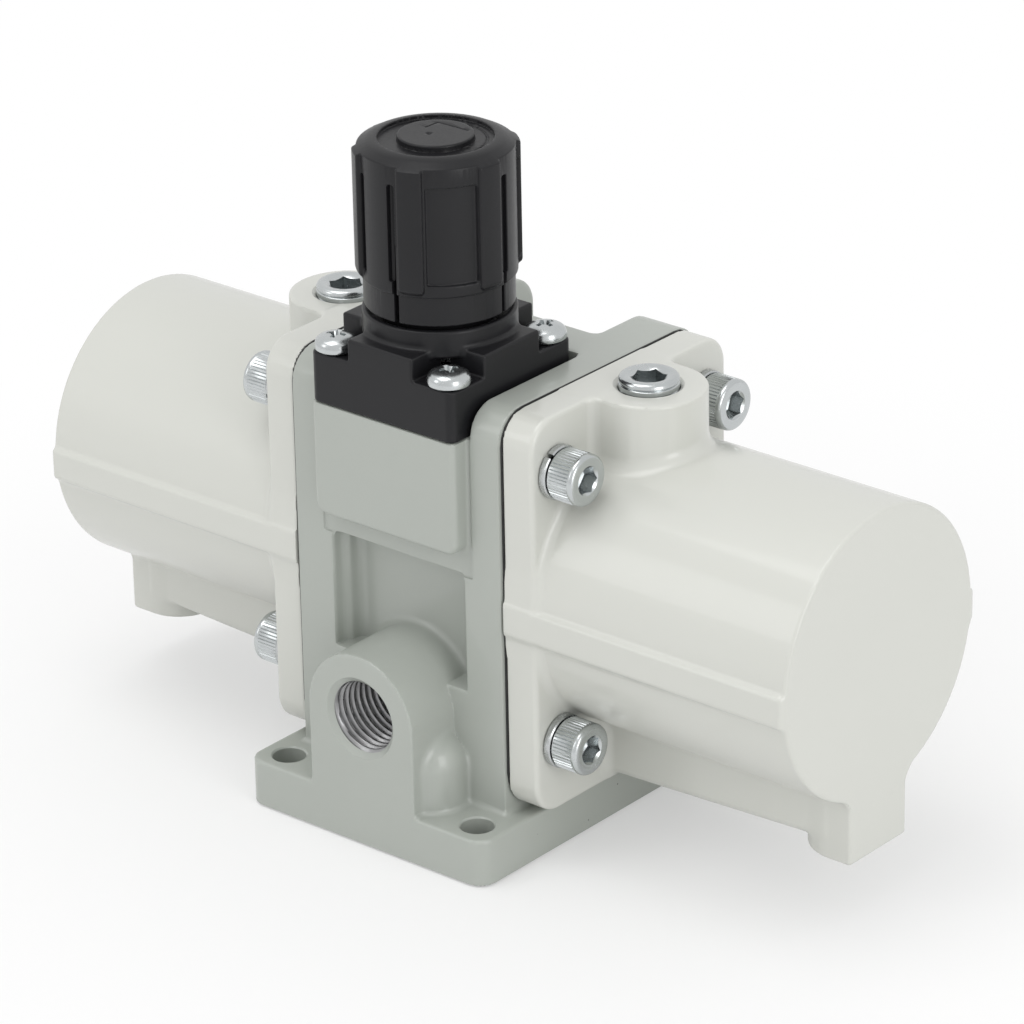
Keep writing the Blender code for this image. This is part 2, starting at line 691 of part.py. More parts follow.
def make_cover(name, sign, look):
    outline = rounded_rectangle(
        (-COVER_HALF_Y, COVER_HALF_Y), (COVER_BOTTOM, BODY_TOP), (SHOULDER_R,) * 4, 5
    )
    cover = plate("cover_" + name, outline, "X", *span(sign, COVER_FACE_X, COVER_FLANGE_X))
    edge = cover.modifiers.new("edges", "BEVEL")
    edge.width = COVER_EDGE * MM
    edge.segments = 2
    edge.limit_method = "VGROUP"
    edge.vertex_group = "outer"
    group = cover.vertex_groups.new(name="outer")
    outer = [v.index for v in cover.data.vertices if abs(v.co.x) > (COVER_FLANGE_X - 0.1) * MM]
    group.add(outer, 1.0, "REPLACE")
    barrel = bevel(cylinder("barrel_" + name, "X", (0, 0, AXIS_Z), CYLINDER_R,
                            *span(sign, COVER_FACE_X + 0.5, COVER_END_X), 56), 0.9, 2)
    slope = BAND_HALF_Y - math.sqrt(CYLINDER_R ** 2 - (AXIS_Z - BAND_BOTTOM) ** 2)
    band_outline = [
        (-BAND_HALF_Y, BAND_BOTTOM), (-BAND_HALF_Y + 2 * slope, BAND_BOTTOM - slope),
        (BAND_HALF_Y - 2 * slope, BAND_BOTTOM - slope), (BAND_HALF_Y, BAND_BOTTOM),
        (BAND_HALF_Y, BAND_TOP), (-BAND_HALF_Y, BAND_TOP),
    ]
    band = plate("band_" + name, band_outline, "X", *span(sign, COVER_FACE_X, COVER_END_X - 0.3))
    keel_outline = rounded_rectangle(
        (-KEEL_HALF_Y, KEEL_HALF_Y), (KEEL_BOTTOM, AXIS_Z - CYLINDER_R + 2.0), (KEEL_CORNER, KEEL_CORNER, 0, 0)
    )
    keel = plate("keel_" + name, keel_outline, "X", *span(sign, COVER_FACE_X + 1, END_BOSS_X))
    for vertex in keel.data.vertices:
        if vertex.co.z < (AXIS_Z - CYLINDER_R) * MM:
            along = (abs(vertex.co.x) - COVER_FACE_X * MM) / ((END_BOSS_X - COVER_FACE_X) * MM)
            vertex.co.z += KEEL_DRAFT * MM * along
    end_boss = cut(
        cylinder("end_boss_" + name, "Z", (sign * END_BOSS_X, 0, 0), END_BOSS_R,
                 END_BOSS_BOTTOM, AXIS_Z - CYLINDER_R + 3.0, 24),
        [block("end_boss_face_" + name, span(sign, COVER_END_X - 0.05, COVER_END_X + 20), (-20, 20), (0, 40))],
    )
    gauge_outline = [(sign * (COVER_FACE_X + 1), -GAUGE_BOSS_R), (sign * (COVER_FACE_X + 1), GAUGE_BOSS_R)]
    ends = (90, -90) if sign > 0 else (90, 270)
    gauge_outline += arc((sign * GAUGE_X, 0), GAUGE_BOSS_R, *ends, 14)
    gauge_boss = plate("gauge_boss_" + name, gauge_outline, "Z", AXIS_Z + CYLINDER_R - 4.5, BODY_TOP)
    bevel(gauge_boss, 0.4, 2)
    add(cover, [barrel, band, keel, end_boss, gauge_boss])
    cutters_of_cover = [
        cylinder("bore_" + name, "X", (0, 0, AXIS_Z), BORE_R, *span(sign, COVER_FACE_X - 1, BORE_END_X), 40),
        cylinder("gauge_hole_" + name, "Z", (sign * GAUGE_X, 0, 0), GAUGE_HOLE_R,
                 GAUGE_HOLE_BOTTOM, BODY_TOP + 1, 20),
        turned("gauge_mouth_" + name, [(0, 1), (GAUGE_HOLE_R + 1.5, 1), (GAUGE_HOLE_R, -0.5), (0, -0.5)],
               "Z", (sign * GAUGE_X, 0, BODY_TOP), 28),
        cylinder("cover_gauge_drill_" + name, "X", (0, GAUGE_DRILL_Y, GAUGE_DRILL_Z), GAUGE_DRILL_R,
                 *span(sign, COVER_FACE_X - 1, GAUGE_X), 8),
        cylinder("keel_drill_" + name, "X", (0, 0, DRIVE_DRILL_Z), DRIVE_DRILL_R,
                 *span(sign, COVER_FACE_X - 1, BORE_END_X - DRIVE_DRILL_R), 10),
        cylinder("keel_riser_" + name, "Z", (sign * (BORE_END_X - DRIVE_DRILL_R - 0.5), 0, 0), DRIVE_DRILL_R,
                 DRIVE_DRILL_Z, AXIS_Z - BORE_R + 1, 8),
    ]
    cutters_of_cover += joint_holes("cover_" + name, sign, COVER_FACE_X - 1, COVER_FLANGE_X + 1, M5_CLEARANCE_R)
    cut(cover, cutters_of_cover)
    return finish(cover, look)


def make_gasket(name, sign, look):
    outline = rounded_rectangle(
        (-COVER_HALF_Y, COVER_HALF_Y), (COVER_BOTTOM, BODY_TOP), (SHOULDER_R,) * 4, 5
    )
    low = BODY_HALF_X + GASKET_GAP
    high = low + GASKET_THICKNESS
    gasket = plate("gasket_" + name, outline, "X", *span(sign, low, high))
    holes = joint_holes("gasket_" + name, sign, low - 1, high + 1, M5_CLEARANCE_R)
    holes.append(cylinder("gasket_bore_" + name, "X", (0, 0, AXIS_Z), BORE_R, *span(sign, low - 1, high + 1), 32))
    holes.append(cylinder("gasket_gauge_" + name, "X", (0, GAUGE_DRILL_Y, GAUGE_DRILL_Z), GAUGE_DRILL_R,
                          *span(sign, low - 1, high + 1), 8))
    holes.append(cylinder("gasket_drive_" + name, "X", (0, 0, DRIVE_DRILL_Z), DRIVE_DRILL_R,
                          *span(sign, low - 1, high + 1), 10))
    cut(gasket, holes)
    return finish(gasket, look)


def hex_cutter(name, radius, low, high, spin=0.0, steps=6):
    made = cylinder(name, "Z", (0, 0, 0), radius, low, high, steps)
    made.rotation_euler = (0, 0, spin)
    return made


def make_cover_screws(screw_look, washer_look):
    """Socket head screws with split spring washers, four to a cover."""
    top = M5_HEAD_HEIGHT
    screw = turned("cover_screw", [
        (0, top), (M5_HEAD_R - 0.5, top), (M5_HEAD_R, top - 0.5), (M5_HEAD_R, 0),
        (M5_SHANK_R, 0), (M5_SHANK_R, -M5_LENGTH), (0, -M5_LENGTH),
    ], "Z", (0, 0, 0), 12)
    cut(screw, [hex_cutter("cover_screw_socket", M5_SOCKET_R, top - 2.6, top + 1)])
    washer = turned("spring_washer", [
        (WASHER_HOLE_R, WASHER_THICKNESS), (WASHER_R, WASHER_THICKNESS), (WASHER_R, 0), (WASHER_HOLE_R, 0),
    ], "Z", (0, 0, 0), 12, closed=True)
    split = block("spring_washer_split", (0.5, WASHER_R + 1), (-WASHER_SPLIT / 2, WASHER_SPLIT / 2),
                  (-1, WASHER_THICKNESS + 1))
    split.rotation_euler = (math.radians(25), 0, 0)
    cut(washer, [split])
    for shape in (screw, washer):
        solid = evaluated_solid(shape)
        look = screw_look if shape is screw else washer_look
        for name, sign in SIDES.items():
            for number, (y, z) in enumerate(screw_places(), 1):
                face = COVER_FLANGE_X + SEAT_GAP
                if shape is screw:
                    face += WASHER_THICKNESS + SEAT_GAP
                made = bpy.data.objects.new(f"{shape.name}_{name}_{number}", solid)
                cutters.objects.link(made)
                made.location = Vector((sign * face, y, z)) * MM
                made.rotation_euler = (0, sign * math.radians(90), 0)
                finish(made, look)


def evaluated_solid(obj):
    """The object's own mesh with its modifiers applied, ready to be shared by copies."""
    bpy.context.view_layer.update()
    mesh = evaluated(obj)
    mesh.name = obj.name + "_solid"
    return mesh


# Governor, bonnet and knob

def make_bonnet(look, screw_look):
    half = PAD_HALF
    bonnet = block("bonnet", (-half, half), (GOVERNOR_Y - half, GOVERNOR_Y + half), (BONNET_BOTTOM, BONNET_TOP),
                   "Z", BONNET_CORNER, origin=(0, GOVERNOR_Y, BONNET_BOTTOM))
    bevel(bonnet, 0.4, 1, 50)
    notches = []
    for x_sign in (-1, 1):
        for y_sign in (-1, 1):
            x = span(x_sign, NOTCH_WALL, half + 5)
            y = [GOVERNOR_Y + limit for limit in span(y_sign, NOTCH_WALL, half + 5)]
            notches.append(block(
                f"notch_{x_sign}_{y_sign}", x, y, (NOTCH_Z, BONNET_TOP + 1), "Z", 1.0,
                edges=lambda m, x=x, y=y, s=x_sign, t=y_sign:
                    (m.x * s < NOTCH_WALL + 0.1) and ((m.y - GOVERNOR_Y) * t < NOTCH_WALL + 0.1),
            ))
    cut(bonnet, notches)
    neck = turned("neck", [
        (0, NECK_TOP), (NECK_R - 0.5, NECK_TOP), (NECK_R, NECK_TOP - 0.5), (NECK_R, COLLAR_TOP - 1.2),
        (COLLAR_R - 1.1, COLLAR_TOP - 1.2), (COLLAR_R - 1.1, COLLAR_TOP), (COLLAR_R - 0.3, COLLAR_TOP),
        (COLLAR_R, COLLAR_TOP - 0.3), (COLLAR_R, BONNET_TOP + 0.5), (COLLAR_R + 0.5, BONNET_TOP),
        (COLLAR_R + 0.5, BONNET_TOP - 1), (0, BONNET_TOP - 1),
    ], "Z", (0, GOVERNOR_Y, 0), 32)
    add(bonnet, [neck])
    holes = [
        cylinder("bonnet_bore", "Z", (0, GOVERNOR_Y, 0), BONNET_BORE_R, BONNET_BOTTOM - 1, BONNET_TOP - 1.5, 24),
        cylinder("neck_bore", "Z", (0, GOVERNOR_Y, 0), NECK_BORE_R, BONNET_TOP - 3, NECK_TOP - NECK_ROOF, 20),
        cylinder("neck_hole", "Z", (0, GOVERNOR_Y, 0), ADJUSTER_R + RUNNING_GAP + 0.1,
                 NECK_TOP - NECK_ROOF - 1, NECK_TOP + 1, 16),
        block("keyway", (-NECK_BORE_R - KEY_REACH, NECK_BORE_R + KEY_REACH),
              (GOVERNOR_Y - KEY_WIDTH / 2, GOVERNOR_Y + KEY_WIDTH / 2), (BONNET_TOP - 3, NECK_TOP - NECK_ROOF - 0.5)),
    ]
    for x_sign in (-1, 1):
        for y_sign in (-1, 1):
            x, y = x_sign * BONNET_SCREW_OFFSET, GOVERNOR_Y + y_sign * BONNET_SCREW_OFFSET
            holes.append(cylinder(f"bonnet_hole_{x_sign}_{y_sign}", "Z", (x, y, 0), M4_CLEARANCE_R,
                                  BONNET_BOTTOM - 1, NOTCH_Z + 1, 10))
    cut(bonnet, holes)
    finish(bonnet, look)
    dome = [(M4_HEAD_R * math.sin(a), M4_HEAD_HEIGHT - 1.6 * (1 - math.cos(a))) for a in (0.5, 1.0)]
    screw = turned("bonnet_screw", [(0, M4_HEAD_HEIGHT)] + dome + [
        (M4_HEAD_R, M4_HEAD_HEIGHT - 1.6), (M4_HEAD_R, 0), (M4_SHANK_R, 0),
        (M4_SHANK_R, -M4_LENGTH), (0, -M4_LENGTH),
    ], "Z", (0, 0, 0), 12)
    slots = [
        block("cross_slot_x", (-2.1, 2.1), (-0.5, 0.5), (M4_HEAD_HEIGHT - 1.5, M4_HEAD_HEIGHT + 1)),
        block("cross_slot_y", (-0.5, 0.5), (-2.1, 2.1), (M4_HEAD_HEIGHT - 1.5, M4_HEAD_HEIGHT + 1)),
    ]
    cut(screw, slots)
    solid = evaluated_solid(screw)
    number = 0
    for y_sign in (-1, 1):
        for x_sign in (-1, 1):
            number += 1
            made = bpy.data.objects.new(f"bonnet_screw_{number}", solid)
            cutters.objects.link(made)
            made.location = Vector((
                x_sign * BONNET_SCREW_OFFSET, GOVERNOR_Y + y_sign * BONNET_SCREW_OFFSET, NOTCH_Z + SEAT_GAP
            )) * MM
            made.rotation_euler = (0, 0, math.radians(37 * number))
            finish(made, screw_look)


def lobed_outline():
    """The knob's section: short arcs of the lobes' radius between arcs of the panels' radius."""
    points = []
    step = 360 / KNOB_LOBES
    for lobe in range(KNOB_LOBES):
        middle = KNOB_LOBE_PHASE + lobe * step
        edge = KNOB_LOBE_HALF_ANGLE
        points += arc((0, GOVERNOR_Y), KNOB_LOBE_R, middle - edge + 1.5, middle + edge - 1.5, 2)
        points += arc((0, GOVERNOR_Y), KNOB_PANEL_R, middle + edge + 1, middle + step - edge - 1, 4)
    return points


def make_knob(look):
    knob = plate("knob", lobed_outline(), "Z", KNOB_BOTTOM - 5, KNOB_TOP + 5, (0, GOVERNOR_Y, KNOB_BOTTOM))
    corner = KNOB_LOBE_R - KNOB_RING_OUTER_R
    shoulder = KNOB_TOP - 3.0
    rounding = [
        (KNOB_RING_OUTER_R - 0.6 + (corner + 0.6) * math.sin(a), shoulder + 3.0 * math.cos(a))
        for a in (0.0, 0.5, 1.0, 1.4)
    ]
    envelope = turned("knob_envelope", [
        (0, KNOB_TOP + KNOB_DISC_RISE), (KNOB_DISC_R - 0.4, KNOB_TOP + KNOB_DISC_RISE),
        (KNOB_DISC_R, KNOB_TOP + KNOB_DISC_RISE - 0.4), (KNOB_DISC_R, KNOB_TOP - KNOB_RECESS),
        (KNOB_RING_INNER_R, KNOB_TOP - KNOB_RECESS), (KNOB_RING_INNER_R + 0.4, KNOB_TOP),
    ] + rounding + [
        (KNOB_LOBE_R + 0.1, KNOB_SKIRT_TOP + 1.0), (KNOB_SKIRT_R, KNOB_SKIRT_TOP),
        (KNOB_SKIRT_R, KNOB_BOTTOM), (0, KNOB_BOTTOM),
    ], "Z", (0, GOVERNOR_Y, 0), 42)
    combine(knob, [envelope], "INTERSECT")
    cut(knob, [
        cylinder("knob_bore", "Z", (0, GOVERNOR_Y, 0), KNOB_BORE_R, KNOB_BOTTOM - 1, KNOB_BORE_TOP, 24),
        cylinder("knob_socket", "Z", (0, GOVERNOR_Y, 0), ADJUSTER_HEX_R + RUNNING_GAP * 1.5,
                 KNOB_BORE_TOP - 1, ADJUSTER_TOP + 3 * SEAT_GAP, 6),
    ])
    for side in (0, 180):
        low = KNOB_WINDOW_ANGLE - KNOB_WINDOW_HALF_ANGLE + side
        high = KNOB_WINDOW_ANGLE + KNOB_WINDOW_HALF_ANGLE + side
        window = arc((0, GOVERNOR_Y), KNOB_WINDOW_R, low, high, 5)
        window += arc((0, GOVERNOR_Y), KNOB_LOBE_R + 1, high, low, 5)
        cut(knob, [plate(f"knob_window_{side}", window, "Z",
                         KNOB_BOTTOM + KNOB_WINDOW_RISE, KNOB_TOP - KNOB_WINDOW_DROP)])
    slits = []
    for number in range(4):
        angle = math.radians(-82 + 90 * number)
        slit = block(f"knob_slit_{number}", (KNOB_BORE_R - 1, KNOB_SKIRT_R + 2), (-0.35, 0.35),
                     (KNOB_BOTTOM - 1, KNOB_SKIRT_TOP))
        slit.location = (0, GOVERNOR_Y * MM, 0)
        slit.rotation_euler = (0, 0, angle)
        slits.append(slit)
    cut(knob, slits)
    return finish(knob, look)


def make_adjuster(look, nut_look, spring_look):
    collar_bottom = ADJUSTER_COLLAR_TOP - ADJUSTER_COLLAR_HEIGHT
    screw = turned("adjusting_screw", [
        (0, NECK_TOP + 1), (ADJUSTER_R, NECK_TOP + 1), (ADJUSTER_R, ADJUSTER_COLLAR_TOP),
        (ADJUSTER_COLLAR_R, ADJUSTER_COLLAR_TOP), (ADJUSTER_COLLAR_R, collar_bottom),
        (ADJUSTER_R, collar_bottom), (ADJUSTER_R, ADJUSTER_BOTTOM + 0.5),
        (ADJUSTER_R - 0.5, ADJUSTER_BOTTOM), (0, ADJUSTER_BOTTOM),
    ], "Z", (0, GOVERNOR_Y, 0), 14)
    add(screw, [cylinder("adjuster_hex", "Z", (0, GOVERNOR_Y, 0), ADJUSTER_HEX_R,
                         NECK_TOP + 3 * SEAT_GAP, ADJUSTER_TOP, 6)])
    finish(screw, look)
    nut_r = NECK_BORE_R - 3 * RUNNING_GAP
    nut = cylinder("spring_nut", "Z", (0, GOVERNOR_Y, 0), nut_r, NUT_BOTTOM, NUT_BOTTOM + NUT_HEIGHT, 20,
                   (0, GOVERNOR_Y, NUT_BOTTOM))
    key = block("nut_keys", (-nut_r - KEY_REACH, nut_r + KEY_REACH),
                (GOVERNOR_Y - KEY_WIDTH / 2 + 2 * RUNNING_GAP, GOVERNOR_Y + KEY_WIDTH / 2 - 2 * RUNNING_GAP),
                (NUT_BOTTOM + 0.4, NUT_BOTTOM + NUT_HEIGHT - 0.4))
    add(nut, [key])
    cut(nut, [cylinder("nut_thread", "Z", (0, GOVERNOR_Y, 0), ADJUSTER_R + SCREW_GAP,
                       NUT_BOTTOM - 1, NUT_BOTTOM + NUT_HEIGHT + 1, 14)])
    finish(nut, nut_look)
    spring = coil("setting_spring", "Z", (0, GOVERNOR_Y, 0), SETTING_SPRING_R, SETTING_SPRING_WIRE_R,
                  PLATE_TOP + 3 * SEAT_GAP, NUT_BOTTOM - 3 * SEAT_GAP, 5.5, 10, 0)
    finish(spring, spring_look)


def make_governor(rubber, brass, steel, spring_look):
    finish(turned("diaphragm", [
        (0, DIAPHRAGM_TOP), (DIAPHRAGM_R, DIAPHRAGM_TOP),
        (DIAPHRAGM_R, DIAPHRAGM_TOP - DIAPHRAGM_THICKNESS), (0, DIAPHRAGM_TOP - DIAPHRAGM_THICKNESS),
    ], "Z", (0, GOVERNOR_Y, 0), 24), rubber)
    finish(turned("diaphragm_plate", [
        (0, PLATE_TOP + 1.2), (SETTING_SPRING_R - 2 * SETTING_SPRING_WIRE_R - 0.4, PLATE_TOP + 1.2),
        (SETTING_SPRING_R - 2 * SETTING_SPRING_WIRE_R, PLATE_TOP),
        (PLATE_R, PLATE_TOP), (PLATE_R, PLATE_BOTTOM), (0, PLATE_BOTTOM),
    ], "Z", (0, GOVERNOR_Y, 0), 18), steel)
    seat_top = VALVE_SEAT_BOTTOM + VALVE_SEAT_HEIGHT
    finish(turned("valve_seat", [
        (VALVE_HOLE_R, seat_top), (VALVE_SEAT_R, seat_top), (VALVE_SEAT_R, VALVE_SEAT_BOTTOM),
        (VALVE_HOLE_R, VALVE_SEAT_BOTTOM),
    ], "Z", (0, GOVERNOR_Y, 0), 20, closed=True), brass)
    stem_top = DIAPHRAGM_TOP - DIAPHRAGM_THICKNESS - 3 * SEAT_GAP
    finish(turned("valve_stem", [
        (0, stem_top), (VALVE_STEM_R, stem_top), (VALVE_STEM_R, POPPET_TOP), (POPPET_R, POPPET_TOP),
        (POPPET_R, POPPET_BOTTOM), (VALVE_SPRING_R - 3 * VALVE_SPRING_WIRE_R, POPPET_BOTTOM),
        (VALVE_SPRING_R - 3 * VALVE_SPRING_WIRE_R - 0.3, POPPET_BOTTOM - 1.5), (0, POPPET_BOTTOM - 1.5),
    ], "Z", (0, GOVERNOR_Y, 0), 14), brass)
    finish(coil("valve_spring", "Z", (0, GOVERNOR_Y, 0), VALVE_SPRING_R, VALVE_SPRING_WIRE_R,
                VALVE_CHAMBER_FLOOR + 3 * SEAT_GAP, POPPET_BOTTOM - 3 * SEAT_GAP, 4.5, 8, 0), spring_look)


def make_gauge_plugs(look):
    for name, sign in SIDES.items():
        top = BODY_TOP + GAUGE_PLUG_STANDS
        radius = GAUGE_HOLE_R - SEAT_GAP
        centre = (sign * GAUGE_X, 0, 0)
        plug = turned("gauge_plug_" + name, [
            (0, top), (radius - 0.4, top), (radius, top - 0.4),
            (radius, GAUGE_PLUG_BOTTOM + 0.6), (radius - 0.6, GAUGE_PLUG_BOTTOM), (0, GAUGE_PLUG_BOTTOM),
        ], "Z", centre, 18)
        socket = cylinder("plug_socket_" + name, "Z", centre, 2.89, top - 4.0, top + 1, 6)
        cut(plug, [socket])
        finish(plug, look)


# Pistons, switching valve and check valves

def make_pistons(alloy, steel, rubber):
    inner = PISTON_X - PISTON_THICKNESS / 2
    outer = PISTON_X + PISTON_THICKNESS / 2
    nut_face = outer - ROD_NUT_HEIGHT - 4 * SEAT_GAP
    rod_end = outer - SEAT_GAP
    shoulder = inner - SEAT_GAP
    finish(turned("piston_rod", [
        (0, rod_end), (ROD_THREAD_R - 0.4, rod_end), (ROD_THREAD_R, rod_end - 0.4), (ROD_THREAD_R, shoulder),
        (ROD_R, shoulder), (ROD_R, -shoulder), (ROD_THREAD_R, -shoulder), (ROD_THREAD_R, -rod_end + 0.4),
        (ROD_THREAD_R - 0.4, -rod_end), (0, -rod_end),
    ], "X", (0, 0, AXIS_Z), 20), steel)
    groove_r = PISTON_SEAL_R - PISTON_SEAL_DEPTH - SEAT_GAP
    groove = PISTON_SEAL_WIDTH / 2 + SEAT_GAP
    for name, sign in SIDES.items():
        half = PISTON_THICKNESS / 2
        centre = (sign * PISTON_X, 0, AXIS_Z)
        recess = nut_face - PISTON_X
        ends = [
            (ROD_THREAD_R + SCREW_GAP, recess), (ROD_NUT_R + 0.6, recess), (ROD_NUT_R + 0.6, half),
            (PISTON_R, half), (PISTON_R, groove), (groove_r, groove),
            (groove_r, -groove), (PISTON_R, -groove), (PISTON_R, -half),
            (ROD_THREAD_R + SCREW_GAP, -half),
        ]
        profile = [(radius, sign * height) for radius, height in ends]
        finish(turned("piston_" + name, profile, "X", centre, 28, closed=True), alloy)
        seal = PISTON_SEAL_WIDTH / 2
        finish(turned("piston_seal_" + name, [
            (groove_r + SEAT_GAP, seal), (PISTON_SEAL_R - 0.5, seal), (PISTON_SEAL_R, 0.0),
            (PISTON_SEAL_R - 0.5, -seal), (groove_r + SEAT_GAP, -seal),
        ], "X", centre, 28, closed=True), rubber)
        nut = cylinder("piston_nut_" + name, "X", (0, 0, AXIS_Z), ROD_NUT_R,
                       *span(sign, nut_face + SEAT_GAP, nut_face + SEAT_GAP + ROD_NUT_HEIGHT), 6,
                       (sign * nut_face, 0, AXIS_Z))
        cut(nut, [cylinder("piston_nut_thread_" + name, "X", (0, 0, AXIS_Z), ROD_THREAD_R + SCREW_GAP,
                           *span(sign, nut_face - 2, outer + 2), 14)])
        finish(nut, steel)
        seal_face = BODY_HALF_X - ROD_SEAL_INSET
        finish(turned("rod_seal_" + name, [
            (ROD_R + RUNNING_GAP, seal_face), (ROD_SEAL_R, seal_face),
            (ROD_SEAL_R, seal_face - ROD_SEAL_WIDTH), (ROD_R + RUNNING_GAP, seal_face - ROD_SEAL_WIDTH),
        ], "X", (0, 0, AXIS_Z), 20, closed=True), rubber)
        if sign < 0:
            mirrored = bpy.data.objects["rod_seal_" + name]
            mirrored.rotation_euler = (0, 0, math.pi)


def make_switching_valve(alloy, steel):
    sleeve = turned("spool_sleeve", [
        (SLEEVE_BORE_R, SLEEVE_HALF_X), (SLEEVE_R, SLEEVE_HALF_X), (SLEEVE_R, -SLEEVE_HALF_X),
        (SLEEVE_BORE_R, -SLEEVE_HALF_X),
    ], "X", (0, 0, SPOOL_Z), 20, closed=True)
    body_half = SLEEVE_HALF_X - SPOOL_END_GAP
    pitch = (2 * body_half - SPOOL_LAND_WIDTH) / (SPOOL_LANDS - 1)
    windows = []
    for gap in range(SPOOL_LANDS - 1):
        x = -body_half + SPOOL_LAND_WIDTH / 2 + (gap + 0.5) * pitch
        windows.append(cylinder(f"sleeve_window_{gap}", "Z", (x, 0, SPOOL_Z), 1.2,
                                SPOOL_Z - SLEEVE_R - 1, SPOOL_Z + SLEEVE_R + 1, 6))
    cut(sleeve, windows)
    finish(sleeve, alloy)
    land_r = SLEEVE_BORE_R - RUNNING_GAP
    profile = [(0, SPOOL_PIN_END), (SPOOL_PIN_R, SPOOL_PIN_END)]
    for land in range(SPOOL_LANDS):
        middle = body_half - SPOOL_LAND_WIDTH / 2 - land * pitch
        neck = SPOOL_PIN_R if land == 0 else SPOOL_WAIST_R
        profile += [(neck, middle + SPOOL_LAND_WIDTH / 2), (land_r, middle + SPOOL_LAND_WIDTH / 2)]
        neck = SPOOL_PIN_R if land == SPOOL_LANDS - 1 else SPOOL_WAIST_R
        profile += [(land_r, middle - SPOOL_LAND_WIDTH / 2), (neck, middle - SPOOL_LAND_WIDTH / 2)]
    profile += [(SPOOL_PIN_R, -SPOOL_PIN_END), (0, -SPOOL_PIN_END)]
    finish(turned("spool", profile, "X", (0, 0, SPOOL_Z), 14), steel)


def make_check_valves(rubber, spring_look):
    floor = BODY_HALF_X - CHECK_POCKET_DEPTH
    low = floor + 2 * SEAT_GAP
    high = low + CHECK_POPPET_WIDTH
    for name, sign in SIDES.items():
        for y_sign, place_name in ((-1, "front"), (1, "rear")):
            centre = (sign * low, y_sign * CHECK_Y, CHECK_Z)
            length = CHECK_POPPET_WIDTH
            boss = CHECK_SPRING_R - 3 * CHECK_SPRING_WIRE_R
            poppet = turned(f"check_poppet_{name}_{place_name}", [
                (0, length + 1.0), (boss - 0.2, length + 1.0), (boss, length), (CHECK_POPPET_R, length),
                (CHECK_POPPET_R, 0), (0, 0),
            ], "X", centre, 12)
            spring = coil(f"check_spring_{name}_{place_name}", "X", (0, y_sign * CHECK_Y, CHECK_Z),
                          CHECK_SPRING_R, CHECK_SPRING_WIRE_R, high + SEAT_GAP, BODY_HALF_X - SEAT_GAP, 3.5, 7, 0)
            if sign < 0:
                poppet.rotation_euler = (0, 0, math.pi)
                spring.rotation_euler = (0, 0, math.pi)
            finish(poppet, rubber)
            finish(spring, spring_look)


for old in list(bpy.data.objects):
    bpy.data.objects.remove(old)

parts = collection("air_pressure_booster")
cutters = collection("cutters", hidden=True)

white = material("cover_paint", (0.63, 0.645, 0.60), 0.25)
black = material("black_plastic", (0.034, 0.034, 0.037), 0.45)
zinc = material("zinc_plate", (0.62, 0.62, 0.60), 0.28, 1.0)
steel = material("steel", (0.55, 0.55, 0.56), 0.3, 1.0)
spring_steel = material("spring_steel", (0.4, 0.4, 0.42), 0.35, 1.0)
brass = material("brass", (0.72, 0.53, 0.22), 0.3, 1.0)
alloy = material("aluminium", (0.7, 0.7, 0.71), 0.35, 1.0)
rubber = material("rubber", (0.02, 0.02, 0.02), 0.7)

make_body()
for side_name, side_sign in SIDES.items():
    make_cover(side_name, side_sign, white)
    make_gasket(side_name, side_sign, rubber)
make_cover_screws(zinc, zinc)
make_bonnet(black, zinc)
make_knob(black)
make_adjuster(steel, brass, spring_steel)
make_governor(rubber, brass, steel, spring_steel)
make_gauge_plugs(steel)
make_pistons(alloy, steel, rubber)
make_switching_valve(alloy, steel)
make_check_valves(rubber, spring_steel)
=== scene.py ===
import math

import bmesh
import bpy
import numpy as np
from mathutils import Matrix, Vector


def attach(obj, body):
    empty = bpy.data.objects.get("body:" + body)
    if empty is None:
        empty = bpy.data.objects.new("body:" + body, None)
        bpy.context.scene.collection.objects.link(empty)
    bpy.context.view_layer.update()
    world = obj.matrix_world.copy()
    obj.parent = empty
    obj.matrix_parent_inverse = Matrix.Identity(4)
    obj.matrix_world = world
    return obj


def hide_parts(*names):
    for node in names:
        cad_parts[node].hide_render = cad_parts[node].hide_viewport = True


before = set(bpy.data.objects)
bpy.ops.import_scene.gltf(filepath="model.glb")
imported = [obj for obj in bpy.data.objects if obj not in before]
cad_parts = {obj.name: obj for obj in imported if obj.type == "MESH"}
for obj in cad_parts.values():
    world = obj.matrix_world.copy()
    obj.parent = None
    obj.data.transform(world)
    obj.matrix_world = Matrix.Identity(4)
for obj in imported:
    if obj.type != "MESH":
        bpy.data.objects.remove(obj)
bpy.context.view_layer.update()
print("frame loaded with", len(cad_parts), "nodes")

mm = 0.001  # pieces are drawn in millimetres; the camera, floor and lamps are in metres
viewAzimuth = 40.45  # degrees; the camera stands there, and the knob's marks are placed as it sees them


# node trees

class Value:
    # a node's output that can be used in Python expressions
    def __init__(self, tree, socket):
        self.tree = tree
        self.socket = socket

    def math(self, operation, first, second):
        return self.tree.add("ShaderNodeMath", {"operation": operation}, {0: first, 1: second})

    def __add__(self, other):
        return self.math("ADD", self, other)

    def __radd__(self, other):
        return self.math("ADD", other, self)

    def __sub__(self, other):
        return self.math("SUBTRACT", self, other)

    def __rsub__(self, other):
        return self.math("SUBTRACT", other, self)

    def __mul__(self, other):
        return self.math("MULTIPLY", self, other)

    def __rmul__(self, other):
        return self.math("MULTIPLY", other, self)

    def __truediv__(self, other):
        return self.math("DIVIDE", self, other)

    def __rtruediv__(self, other):
        return self.math("DIVIDE", other, self)

    def __lt__(self, other):
        return self.math("LESS_THAN", self, other)

    def __gt__(self, other):
        return self.math("GREATER_THAN", self, other)


